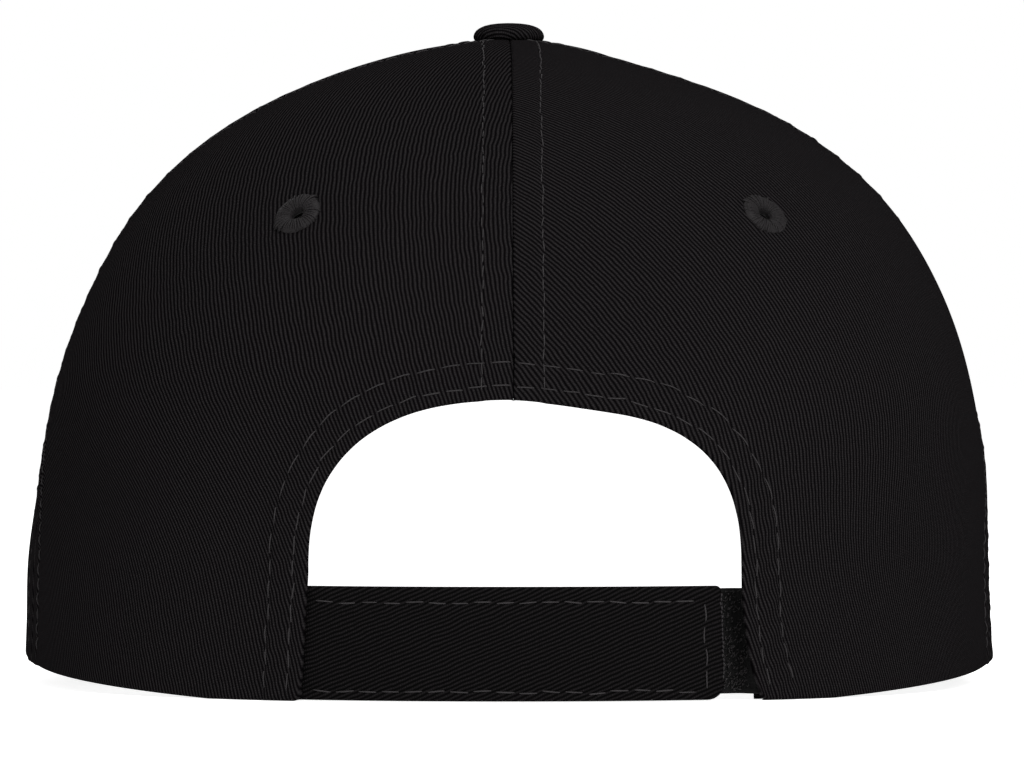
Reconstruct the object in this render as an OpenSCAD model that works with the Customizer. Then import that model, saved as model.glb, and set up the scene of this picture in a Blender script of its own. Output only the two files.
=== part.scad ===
// Six-panel baseball cap with a stiffened front, a curved visor and a hook-and-loop strap
// across a rounded opening at the back.
//
// Frame: +Z up, +Y to the back of the cap, +X to the wearer's left. The origin is the centre
// of the head opening, level with the back rim. An "angle" runs round the crown from the
// centre back towards the wearer's left, and a "depth" is counted inward from the outer face.

/* [Crown] */
// Outer width of the crown at the rim
crown_w = 179; // [160:1:200]
// Outer length of the crown at the rim, front to back
crown_l = 200; // [180:1:220]
// Height of the crown above the back rim, without the button
crown_h = 118.6; // [100:0.2:140]
// Squareness of the oval: 2 is an ellipse
crown_square = 2.12; // [2:0.02:2.5]
// Thickness of a panel
panel_t = 1.2; // [0.8:0.1:1.6]
// How much the panels bulge between their seams
panel_puff = 0.7; // [0:0.1:1.5]
// Gap between two neighbouring panels along a seam
seam_gap = 0.1; // [0.05:0.05:0.3]
// Angle at the rim of the seams between the back and the side panels
back_seam_angle = 76; // [60:1:84]
// Angle of the same seams half way up the crown
back_seam_high = 93; // [60:1:96]
// Angle at the rim of the seams between the side and the front panels
front_seam_angle = 127; // [120:1:134]
// Angle at the rim of the centre back seam, which a sewn cap has a little off centre
back_seam_skew = 1; // [-2:0.1:2]
// Height of the rim at the sides above the back
side_rise = 5; // [1:0.2:7]

/* [Lining] */
// Thickness of the stiff buckram behind the front panels
buckram_t = 0.5; // [0.3:0.1:0.8]
// Width of a seam tape
tape_w = 14; // [10:1:18]
// Thickness of a seam tape
tape_t = 0.45; // [0.3:0.05:0.6]
// Height of the sweatband
sweatband_h = 32; // [25:1:38]
// Thickness of the sweatband's facing cloth
sweatband_t = 0.7; // [0.5:0.1:1]
// Thickness of the padding behind the sweatband
padding_t = 0.8; // [0.6:0.1:1.4]

/* [Visor] */
// Length of the visor at its middle, from the front of the crown
visor_len = 71; // [60:1:80]
// Angle that each half of the visor covers round the front of the crown
visor_reach = 62; // [56:1:66]
// Angle by which the visor's ends fan out sideways
visor_fan = 25; // [15:1:35]
// Drop of the visor's cross curve at the width of the crown
visor_sag = 19; // [12:1:26]
// Forward slope of the visor, as a rise over a run
visor_slope = 0.08; // [0:0.01:0.16]
// Thickness of the visor board
board_t = 1.8; // [1.4:0.1:2.4]
// Distance from the edge of the visor to its board
board_inset = 3; // [2:0.5:5]
// Thickness of one visor cover
cover_t = 0.8; // [0.5:0.1:1.2]

/* [Back opening] */
// Width of the rounded opening
arch_w = 74; // [60:1:84]
// Height of the top of the opening above the rim
arch_h = 51.8; // [44:0.2:60]
// Height at which the sides of the opening begin to curve in
arch_spring = 22; // [21:0.5:30]
// Squareness of the opening's rounded top: 2 is an ellipse
arch_square = 2.65; // [2:0.05:3]
// How much wider each side of the opening is at the rim
arch_flare = 1.2; // [0:0.1:2]
// Width of the facing tape round the opening
facing_w = 8; // [6:0.5:10]

/* [Closure] */
// Height of the strap
strap_h = 19.6; // [16:0.2:21]
// Thickness of the strap
strap_t = 1.6; // [1.2:0.1:2]
// Space between the strap's free end and the far side of the opening
strap_short = 2.4; // [2:0.2:8]
// Length of the loop tab from the side of the opening to its free end
loop_tab_len = 44; // [36:1:50]
// Thickness of the loop tab
loop_tab_t = 1.2; // [1:0.1:1.6]
// Thickness of the hook tape, and of the loop tape
hook_loop_t = 0.8; // [0.5:0.1:1]
// Length of the hook tape
hook_len = 38; // [30:1:50]
// Length sewn in behind a back panel, of the strap and of the loop tab
root_len = 12; // [8:1:14]

/* [Eyelets] */
// Outer diameter of a sewn eyelet
eyelet_d = 9; // [7:0.2:11]
// Diameter of the air hole
eyelet_hole = 2.8; // [2:0.2:4]
// Height of the eyelets above the back rim
eyelet_z = 84.5; // [76:0.5:92]
// Angle of the two back eyelets from the centre back
back_eyelet_angle = 33.5; // [32:0.5:44]
// Angle by which both back eyelets sit off to one side, as sewn
eyelet_skew = -2; // [-3:0.1:3]

/* [Button] */
// Diameter of the covered button
button_d = 13; // [11:0.5:16]
// Height of the button above the crown
button_h = 2.9; // [2:0.2:5]
// Diameter of the button's prong
prong_d = 2.4; // [2:0.2:3]
// Diameter of the washer inside the crown
washer_d = 11; // [9:0.5:13]

/* [Hidden] */

twill_black = "#1b1a1b";
tape_black = "#232224";
board_grey = "#5c5f63";
buckram_white = "#d8d6cf";
steel_grey = "#8d9196";
pile_black = "#0f0f10";

// How the sides, the back and the front round over into the top: the height that the
// rounding takes, and its power, where 0.5 is a dome and 1 is a cone.
side_round = [27.7, 0.689];
back_round = [33, 0.72];
front_round = [19, 0.6];
// How the seams turn from even angles at the top to their own, in the same terms.
seam_round = [12, 0.6];

// Clearances: between layers that share their facets, between curved layers whose facets
// differ, between the crown and the visor, and between pieces that move apart.
layer_gap = 0.1;
curve_gap = 0.4;
visor_gap = 0.3;
moving_gap = 0.3;
prong_gap = 0.3;
eyelet_gap = 0.05;

// The rim lies flat up to this angle each side of the centre back.
flat_angle = 34;
// Height at which the visor's inner edge is set out on the crown.
visor_seat_z = 10;
// Mesh steps across and up a panel, and round the whole rim.
panel_steps = [12, 16];
rim_steps = 72;

// Depths of the layers behind the outer face.
lining_depth = panel_t + layer_gap;
// The leaning back seams need a little more room between the panels and their tapes.
leaning_tape_depth = lining_depth + 1.5 * layer_gap;
front_tape_depth = lining_depth + buckram_t + 1.5 * layer_gap;
padding_depth = front_tape_depth + tape_t + panel_puff + curve_gap;
sweatband_depth = padding_depth + padding_t + layer_gap;
visor_tuck = padding_depth - layer_gap;
strap_depth = lining_depth;
hook_depth = strap_depth + strap_t + layer_gap;
loop_depth = hook_depth + hook_loop_t + moving_gap;
loop_tab_depth = loop_depth + hook_loop_t + layer_gap / 2;

visor_t = board_t + 2 * cover_t + 2 * layer_gap;

// ---- Crown surface ----

function round_share(drop, round) = pow(1 - exp(-max(drop, 0) / round[0]), round[1]);

function half_size(rim_half, top, z, round) =
    rim_half * round_share(top - z, round) / round_share(top, round);

// Radius of the smooth crown at an angle, a height and a depth.
function crown_r(angle, z, depth) =
    let (
        top = crown_h - depth,
        across = half_size(crown_w / 2 - depth, top, z, side_round),
        along = half_size(crown_l / 2 - depth, top, z, cos(angle) > 0 ? back_round : front_round),
        power = pow(abs(sin(angle)) / across, crown_square)
            + pow(abs(cos(angle)) / along, crown_square)
    )
    pow(power, -1 / crown_square);

function crown_xy(angle, z, depth) = crown_r(angle, z, depth) * [sin(angle), cos(angle)];

function smooth(x) = let (t = min(max(x, 0), 1)) t * t * (3 - 2 * t);

// ---- Visor surface ----

// Place on the visor: out runs from the crown to the edge, round from the right end, -1, to
// the left end, 1. The depth is that of the inner edge.
function visor_xy(out, round, depth) =
    let (
        start = crown_xy(180 - visor_reach * round, visor_seat_z, depth),
        reach = (visor_len + depth) * sqrt(1 - pow(abs(round), 2.6)) + depth * abs(round),
        heading = visor_fan * round
    )
    start + out * reach * [sin(heading), -cos(heading)];

function visor_shape(p) =
    visor_slope * (p[1] + crown_l / 2) - visor_sag * pow(2 * p[0] / crown_w, 2);

visor_lowest = min([for (k = [-1:0.02:1]) visor_shape(visor_xy(1, k, visor_tuck))]);

// Height of the middle of the visor's thickness.
function visor_mid(p) = visor_shape(p) - visor_lowest + visor_t / 2;

// ---- Rim ----

function visor_rim(angle, depth) =
    let (
        lift = visor_t / 2 + visor_gap,
        first = visor_mid(crown_xy(angle, visor_seat_z, depth)) + lift
    )
    visor_mid(crown_xy(angle, first, depth)) + lift;

visor_angle = 180 - visor_reach;

function side_rim(angle) = side_rise * max(angle - flat_angle, 0) / (90 - flat_angle);

// Height of the crown's lower edge.
function rim_z(angle, depth) =
    abs(angle) > visor_angle
        ? visor_rim(angle, depth)
        : side_rim(abs(angle)) + (visor_rim(visor_angle, 0) - side_rim(visor_angle))
            * smooth((abs(angle) - 90) / (visor_angle - 90));

// ---- Panels ----

// The six seams, counted round from the centre back by the wearer's left: angle at the rim.
seam_rim_angles = [
    back_seam_skew, back_seam_angle, front_seam_angle, 180,
    360 - front_seam_angle, 360 - back_seam_angle, 360 + back_seam_skew
];
panel_names = [
    "back_panel_left", "side_panel_left", "front_panel_left",
    "front_panel_right", "side_panel_right", "back_panel_right"
];

function signed(angle) = angle > 180 ? angle - 360 : angle;

// Height at a share "up" of the way from the rim to the top, and never less than "above" the rim.
// The shares stand at the same levels in every layer, so that their facets lie parallel.
function level_z(angle, up, depth, above) =
    let (top = crown_h - depth - 0.02, start = rim_z(signed(angle), depth))
    max(start + above, top - (top - start) * pow(1 - up, 2));

// Seams spread evenly at the top, take their own angles half way up, and those at the rim below.
function seam_angle(k, up) =
    let (
        drop = crown_h * pow(1 - up, 2),
        high = k == 1 ? back_seam_high : k == 5 ? 360 - back_seam_high : seam_rim_angles[k]
    )
    60 * k + (high - 60 * k) * round_share(drop, seam_round)
        + (seam_rim_angles[k] - high) * smooth(4 * drop / crown_h - 2.4);

// Point of a panel, where across runs from one seam to the next.
function panel_pt(k, across, up, depth, above, margin) =
    let (
        low = seam_angle(k, up),
        high = seam_angle(k + 1, up),
        angle = low + (high - low) * across,
        z = level_z(seam_angle(k, 0) + (seam_angle(k + 1, 0) - seam_angle(k, 0)) * across,
            up, depth, above),
        r = crown_r(angle, z, depth),
        trim = min(margin / r * 180 / PI, 0.45 * (high - low)),
        trimmed = low + trim + (high - low - 2 * trim) * across,
        dent = panel_puff * pow(2 * across - 1, 2) * min(r / 20, 1),
        out = crown_r(trimmed, z, depth) - dent
    )
    [out * sin(trimmed), out * cos(trimmed), z];

// Closed sheet between an outer and an inner face, each a function of two shares from 0 to 1.
module sheet(steps, outer, inner, flip = false) {
    row = steps[0] + 1;
    layer = row * (steps[1] + 1);
    points = [
        for (face = [outer, inner], j = [0:steps[1]], i = [0:steps[0]])
            face(i / steps[0], j / steps[1])
    ];
    outer_faces = [
        for (j = [0:steps[1] - 1], i = [0:steps[0] - 1])
            let (a = j * row + i)
            each [[a, a + row, a + row + 1], [a, a + row + 1, a + 1]]
    ];
    inner_faces = [for (f = outer_faces) [f[2] + layer, f[1] + layer, f[0] + layer]];
    border = concat(
        [for (i = [0:steps[0] - 1]) [i, i + 1]],
        [for (j = [0:steps[1] - 1]) [j * row + steps[0], (j + 1) * row + steps[0]]],
        [for (i = [steps[0]:-1:1]) [steps[1] * row + i, steps[1] * row + i - 1]],
        [for (j = [steps[1]:-1:1]) [j * row, (j - 1) * row]]
    );
    edge_faces = [
        for (e = border)
            each [[e[0], e[1], e[1] + layer], [e[0], e[1] + layer, e[0] + layer]]
    ];
    faces = concat(outer_faces, inner_faces, edge_faces);
    polyhedron(points, flip ? [for (f = faces) [f[2], f[1], f[0]]] : faces);
}

// Sheet that follows panel k between two depths, starting above the rim.
module panel_sheet(k, depth, t, above, margin) {
    sheet(panel_steps,
        function(x, up) panel_pt(k, x, up, depth, above, margin),
        function(x, up) panel_pt(k, x, up, depth + t, above, margin), flip = true);
}

// Outline of the back opening, grown outward by a margin and cut off at a lower height.
function arch_points(grow, low) = concat(
    [[-arch_w / 2 - arch_flare - grow, low]],
    [for (a = [180:-5:0]) [
        (arch_w / 2 + grow) * sign(cos(a)) * pow(abs(cos(a)), 2 / arch_square),
        arch_spring + (arch_h - arch_spring + grow) * pow(sin(a), 2 / arch_square)
    ]],
    [[arch_w / 2 + arch_flare + grow, low]]
);

module through_back() {
    translate([0, crown_l, 0]) rotate([90, 0, 0]) linear_extrude(crown_l * 0.7) children();
}

// Places a child at an eyelet, with +Z along the crown's outward normal.
module at_eyelet(k) {
    up_share = 1 - sqrt((crown_h - eyelet_z) / (crown_h - rim_z(signed(panel_mid(k)), 0)));
    middle = (seam_angle(k, up_share) + seam_angle(k + 1, up_share)) / 2;
    angle = k == 0 ? eyelet_skew + back_eyelet_angle
        : k == 5 ? eyelet_skew - back_eyelet_angle
        : middle;
    here = crown_xy(angle, eyelet_z, 0);
    lower = crown_r(angle, eyelet_z - 1, 0) - norm(here);
    side = crown_xy(angle + 1, eyelet_z, 0) - crown_xy(angle - 1, eyelet_z, 0);
    turn = atan2(-side[0], side[1]) + 180;
    translate([here[0], here[1], eyelet_z])
        rotate([0, 0, cos(turn) * here[0] + sin(turn) * here[1] > 0 ? turn : turn + 180])
        rotate([0, 90 - atan(lower), 0])
        children();
}

function panel_mid(k) = (seam_rim_angles[k] + seam_rim_angles[k + 1]) / 2;

module prong_hole() {
    translate([0, 0, crown_h / 2]) cylinder(h = crown_h, d = prong_d + 2 * prong_gap, $fn = 32);
}

module panel(k) {
    color(twill_black) difference() {
        panel_sheet(k, 0, panel_t, 0, seam_gap / 2);
        prong_hole();
        at_eyelet(k) cylinder(h = 12, d = eyelet_d + 2 * eyelet_gap, center = true, $fn = 48);
        if (k == 0 || k == 5) through_back() polygon(arch_points(0, -5));
    }
}

module buckram(k) {
    top_hole = 30;
    color(buckram_white) difference() {
        panel_sheet(k, lining_depth, buckram_t, 3, 3);
        translate([0, 0, crown_h / 2]) cylinder(h = crown_h, d = top_hole, $fn = 48);
        at_eyelet(k) cylinder(h = 16, d = eyelet_d + 2, center = true, $fn = 48);
    }
}

// Tape along seam k, from the sweatband to the washer; the six narrow to meet round the top.
module seam_tape(k, depth) {
    function tape_pt(x, up, d) =
        let (
            angle = seam_angle(k, up),
            z = level_z(seam_angle(k, 0), up, d, 2),
            seam_r = crown_r(angle, z, d),
            half = min(tape_w / 2, seam_r * tan(25)),
            turned = angle + (2 * x - 1) * half / seam_r * 180 / PI,
            r = crown_r(turned, z, d) - panel_puff * min(seam_r / 20, 1)
        )
        [r * sin(turned), r * cos(turned), z];
    color(tape_black) difference() {
        sheet([4, panel_steps[1]],
            function(x, up) tape_pt(x, up, depth),
            function(x, up) tape_pt(x, up, depth + tape_t), flip = true);
        prong_hole();
        if (k == 0) through_back() polygon(arch_points(facing_w + 1, -5));
    }
}

module arch_facing() {
    span = 38;
    color(tape_black) intersection() {
        sheet([14, 10],
            function(x, up) band_pt(span * (1 - 2 * x), 75 * up, lining_depth + panel_puff),
            function(x, up) band_pt(span * (1 - 2 * x), 75 * up, lining_depth + panel_puff + tape_t));
        through_back() difference() {
            polygon(arch_points(facing_w, strap_h + 2));
            polygon(arch_points(0.2, 0));
        }
    }
}

function band_pt(angle, z, depth) = concat(crown_xy(angle, z, depth), [z]);

// Band round the inside of the rim, open across the back between the sides of the opening.
module inner_band(depth, t, low, high) {
    start = angle_at(arch_w / 2 + arch_flare + 2, depth);
    function around(x) = start + (360 - 2 * start) * x;
    function place(x, up, d) =
        band_pt(around(x), rim_z(signed(around(x)), visor_tuck) + low + (high - low) * up, d);
    sheet([rim_steps, 3],
        function(x, up) place(x, up, depth),
        function(x, up) place(x, up, depth + t), flip = true);
}

module sweatband() {
    color(twill_black) inner_band(sweatband_depth, sweatband_t, 0, sweatband_h);
}

module sweatband_padding() {
    color(tape_black) inner_band(padding_depth, padding_t, 1, sweatband_h - 2);
}

// ---- Visor ----

// Layer of the visor between two heights from its middle; near the edge they close to edge_z.
module visor_layer(low, high, edge_low, edge_high, inset) {
    ends = 0.985;
    function place(round, out, mid, edge) =
        let (
            side = ends * (2 * round - 1),
            share = 1 - pow(1 - out, 1.5),
            p = visor_xy(share * (1 - inset / visor_len), side, visor_tuck)
        )
        [p[0], p[1], visor_mid(p) + mid + (edge - mid) * pow(share, 24)];
    sheet([36, 10],
        function(round, out) place(round, out, high, edge_high),
        function(round, out) place(round, out, low, edge_low), flip = true);
}

module visor_board() {
    color(board_grey) visor_layer(-board_t / 2, board_t / 2, -board_t / 4, board_t / 4, board_inset);
}

module visor_top_cover() {
    base = board_t / 2 + layer_gap;
    color(twill_black) visor_layer(base, base + cover_t, layer_gap / 2, cover_t, 0);
}

module visor_bottom_cover() {
    base = board_t / 2 + layer_gap;
    color(twill_black) visor_layer(-base - cover_t, -base, -cover_t, -layer_gap / 2, 0);
}

// ---- Button ----

cover_skin = 0.6;
shell_t = 0.5;
button_seat = crown_h - 0.2;

module dome(d, h) {
    bulge = 0.8;
    rotate_extrude($fn = 64) polygon(concat(
        [[0, 0], [d / 2 - 0.4, 0]],
        [for (a = [-10:10:90]) [d / 2 * pow(max(cos(a), 0), bulge), 0.3 + (h - 0.3) * max(sin(a), 0)]]
    ));
}

module button_cover() {
    color(twill_black) translate([0, 0, button_seat]) difference() {
        dome(button_d, button_h);
        translate([0, 0, -0.01]) dome(button_d - 2 * cover_skin, button_h - cover_skin);
    }
}

module button_shell() {
    gap = cover_skin + layer_gap / 2;
    inner = gap + shell_t;
    color(steel_grey) translate([0, 0, button_seat]) difference() {
        dome(button_d - 2 * gap, button_h - gap);
        translate([0, 0, -0.01]) dome(button_d - 2 * inner, button_h - inner);
    }
}

prong_top = button_seat + button_h - cover_skin - shell_t - 0.3;
washer_top = crown_h - front_tape_depth - tape_t - 1.1;
washer_t = 0.8;

module button_prong() {
    head = 0.6;
    color(steel_grey) {
        translate([0, 0, prong_top - head]) cylinder(h = head, d = prong_d * 2, $fn = 32);
        translate([0, 0, washer_top - washer_t - 1])
            cylinder(h = prong_top - washer_top + washer_t + 1 - head / 2, d = prong_d, $fn = 32);
    }
}

module button_washer() {
    color(steel_grey) translate([0, 0, washer_top - washer_t]) difference() {
        cylinder(h = washer_t, d = washer_d, $fn = 48);
        translate([0, 0, -1]) cylinder(h = washer_t + 2, d = prong_d + 0.1, $fn = 32);
    }
}

// ---- Eyelets ----

module eyelet(k) {
    lip = 0.35;
    ring = (eyelet_d - eyelet_hole) / 2;
    color(tape_black) at_eyelet(k)
        translate([0, 0, -panel_t - lip])
        rotate_extrude($fn = 48)
        translate([eyelet_hole / 2, 0])
        polygon([
            [0.5, 0], [ring - 0.4, 0.1], [ring, 0.5], [ring, panel_t + lip],
            [ring - 0.5, panel_t + 2 * lip], [0.6, panel_t + 2 * lip], [0, panel_t], [0, 0.6]
        ]);
}

// ---- Closure ----

strap_z0 = 0.15;
// Sideways place of the hinge lines of the strap and of the loop tab.
hinge_x = arch_w / 2 - 0.4;

// Angle at which a band at some depth is x millimetres to the side.
function angle_at(x, depth) = asin(x / crown_r(asin(2 * x / crown_l), strap_h / 2, depth));

module closure_band(x_from, x_to, low, high, depth, t) {
    function at(x) = angle_at(x_from + (x_to - x_from) * x, depth);
    sheet([14, 2],
        function(x, up) band_pt(at(x), low + (high - low) * up, depth),
        function(x, up) band_pt(at(x), low + (high - low) * up, depth + t),
        flip = x_to > x_from);
}

strap_end_x = -arch_w / 2 + strap_short;

module strap_root() {
    color(twill_black)
        closure_band(hinge_x + 0.4 + root_len, hinge_x + 0.35, 1, strap_h - 0.5,
            strap_depth + panel_puff / 2, 0.8);
}

module closure_strap() {
    color(twill_black)
        closure_band(hinge_x, strap_end_x, strap_z0, strap_z0 + strap_h, strap_depth, strap_t);
}

module hook_tape() {
    end = 1.5;
    color(pile_black)
        closure_band(strap_end_x + end + hook_len, strap_end_x + end, 1.5, strap_h - 1.2,
            hook_depth, hook_loop_t);
}

module loop_tab_root() {
    color(twill_black)
        closure_band(-hinge_x - 0.35, -hinge_x - 0.4 - root_len, 1, strap_h - 0.5,
            strap_depth + panel_puff / 2, 0.8);
}

module loop_tab() {
    color(twill_black)
        closure_band(-hinge_x + loop_tab_len, -hinge_x, 1, strap_h - 0.4,
            loop_tab_depth, loop_tab_t);
}

module loop_tape() {
    color(pile_black)
        closure_band(-hinge_x + loop_tab_len - 1.5, -hinge_x + 0.5, 1.6, strap_h - 1,
            loop_depth, hook_loop_t);
}

panel(2);  // front_panel_left
panel(3);  // front_panel_right
panel(1);  // side_panel_left
panel(4);  // side_panel_right
panel(0);  // back_panel_left
panel(5);  // back_panel_right
buckram(2);  // front_buckram_left
buckram(3);  // front_buckram_right
seam_tape(0, lining_depth);  // centre_back_seam_tape
seam_tape(1, leaning_tape_depth);  // back_seam_tape_left
seam_tape(2, front_tape_depth);  // front_seam_tape_left
seam_tape(3, front_tape_depth);  // centre_front_seam_tape
seam_tape(4, front_tape_depth);  // front_seam_tape_right
seam_tape(5, leaning_tape_depth);  // back_seam_tape_right
arch_facing();
sweatband();
sweatband_padding();
visor_board();
visor_top_cover();
visor_bottom_cover();
button_cover();
button_shell();
button_prong();
button_washer();
eyelet(2);  // eyelet_front_left
eyelet(3);  // eyelet_front_right
eyelet(1);  // eyelet_side_left
eyelet(4);  // eyelet_side_right
eyelet(0);  // eyelet_back_left
eyelet(5);  // eyelet_back_right
strap_root();
closure_strap();
hook_tape();
loop_tab_root();
loop_tab();
loop_tape();
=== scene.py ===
"""Black six-panel twill baseball cap, seen from behind, on a plain pale floor.

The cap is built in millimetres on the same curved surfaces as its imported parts, then written
out in metres. An angle runs round the crown from the centre back towards the wearer's left;
a depth is counted inward from the outer face.
"""

import logging
import math
from dataclasses import dataclass, field
from enum import Enum

import bpy
import numpy as np
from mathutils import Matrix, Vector

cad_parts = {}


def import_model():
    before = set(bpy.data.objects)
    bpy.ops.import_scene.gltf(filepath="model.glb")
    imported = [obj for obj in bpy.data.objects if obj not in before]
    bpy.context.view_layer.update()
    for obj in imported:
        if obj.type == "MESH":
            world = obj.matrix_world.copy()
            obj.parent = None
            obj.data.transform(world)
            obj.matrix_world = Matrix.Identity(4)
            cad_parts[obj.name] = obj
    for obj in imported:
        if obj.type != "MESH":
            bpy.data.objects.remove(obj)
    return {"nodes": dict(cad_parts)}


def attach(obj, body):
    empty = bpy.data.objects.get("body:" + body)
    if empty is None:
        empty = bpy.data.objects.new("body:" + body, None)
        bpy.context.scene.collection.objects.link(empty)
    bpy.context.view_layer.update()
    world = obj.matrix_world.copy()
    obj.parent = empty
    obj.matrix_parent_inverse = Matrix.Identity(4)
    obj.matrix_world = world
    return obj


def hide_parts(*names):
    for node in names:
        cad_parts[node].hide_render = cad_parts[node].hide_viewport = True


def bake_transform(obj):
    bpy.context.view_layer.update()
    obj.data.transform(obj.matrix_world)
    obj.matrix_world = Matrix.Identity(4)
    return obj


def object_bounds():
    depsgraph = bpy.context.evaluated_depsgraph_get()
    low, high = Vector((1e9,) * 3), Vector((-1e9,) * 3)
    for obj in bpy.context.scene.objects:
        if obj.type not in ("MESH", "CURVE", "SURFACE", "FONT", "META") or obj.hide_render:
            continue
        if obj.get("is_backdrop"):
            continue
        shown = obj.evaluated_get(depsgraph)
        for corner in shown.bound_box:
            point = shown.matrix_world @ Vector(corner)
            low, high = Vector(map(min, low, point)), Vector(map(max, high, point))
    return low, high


LOG = logging.getLogger("cap")
MM = 0.001
CLOTH_UV = "Cloth"
TAU = 2 * math.pi
Array = np.ndarray
Material = bpy.types.Material
Piece = bpy.types.Object
Socket = bpy.types.NodeSocket
# Height at which sideways places on the closure and the sweatband are turned into angles.
BAND_LEVEL = 9.8
# Stands for a distance that is out of reach.
FAR = 99.0


# ---------------- small mathematics


def smooth(x: Array) -> Array:
    """Smoothstep from 0 to 1."""
    t = np.clip(x, 0.0, 1.0)
    return t * t * (3 - 2 * t)


def unit(v: Array) -> Array:
    """Vectors of length one along the last axis."""
    return v / np.maximum(np.linalg.norm(v, axis=-1, keepdims=True), 1e-12)


def lengths_along(points: Array) -> Array:
    """Running length along a polyline, starting at 0."""
    steps = np.linalg.norm(np.diff(points, axis=0), axis=1)
    return np.concatenate([[0.0], np.cumsum(steps)])


def picked(values: Array, along: Array, at: Array) -> Array:
    """Values beside a line, each column read at the given running lengths."""
    return np.stack([np.interp(at, along, column) for column in values.T], -1)


def round_axis(r: Array, a: Array, z: Array) -> Array:
    """Places at a radius, an angle from the back in radians and a height."""
    return np.stack(np.broadcast_arrays(r * np.sin(a), r * np.cos(a), z), -1)


def resample(points: Array, at: Array) -> Array:
    """Points of a polyline at the given running lengths."""
    return picked(points, lengths_along(points), at)


def ripple(x: Array, z: Array, seed: float) -> Array:
    """Slow, smooth unevenness between about -1 and 1.

    Args:
        x: One coordinate, in radians of the slowest wave.
        z: The other coordinate.
        seed: Any number; another seed gives another unevenness.
    Returns:
        The unevenness at each place.
    """
    a = np.sin(x * 1.3 + 1.7 * seed + 0.9 * np.sin(z * 0.7 + seed))
    b = np.sin(z * 1.1 - 0.6 * x + 2.3 * seed)
    c = np.sin(x * 2.9 + z * 2.3 + 4.1 * seed)
    return (a + b + 0.6 * c) / 2.6


# ---------------- surfaces of the cap


@dataclass(frozen=True)
class Rounding:
    """How a half width grows below the top: the height it takes, and its power."""

    scale: float
    power: float

    def share(self, drop: Array) -> Array:
        """Share of the full half width at a drop below the top."""
        return (1 - np.exp(-np.maximum(drop, 0.0) / self.scale)) ** self.power


@dataclass(frozen=True)
class CapSizes:
    """Sizes of the sewn cap, in millimetres and degrees."""

    width: float = 179.0
    length: float = 200.0
    height: float = 118.6
    square: float = 2.12
    puff: float = 0.7
    panel_t: float = 1.2
    side_rise: float = 5.0
    flat_angle: float = 34.0
    side_round: Rounding = Rounding(27.7, 0.689)
    back_round: Rounding = Rounding(33.0, 0.72)
    front_round: Rounding = Rounding(19.0, 0.6)
    seam_round: Rounding = Rounding(12.0, 0.6)
    seams: tuple = (1.0, 76.0, 127.0, 180.0, 233.0, 284.0, 361.0)
    seams_high: tuple = (1.0, 93.0, 127.0, 180.0, 233.0, 267.0, 361.0)
    grain_angles: tuple = (36.0, 106.0, 153.0, 207.0, 254.0, 324.0)
    visor_len: float = 71.0
    visor_reach: float = 62.0
    visor_fan: float = 25.0
    visor_sag: float = 19.0
    visor_slope: float = 0.08
    visor_seat: float = 10.0
    visor_t: float = 3.6
    visor_gap: float = 0.3
    visor_tuck: float = 3.4


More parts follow.
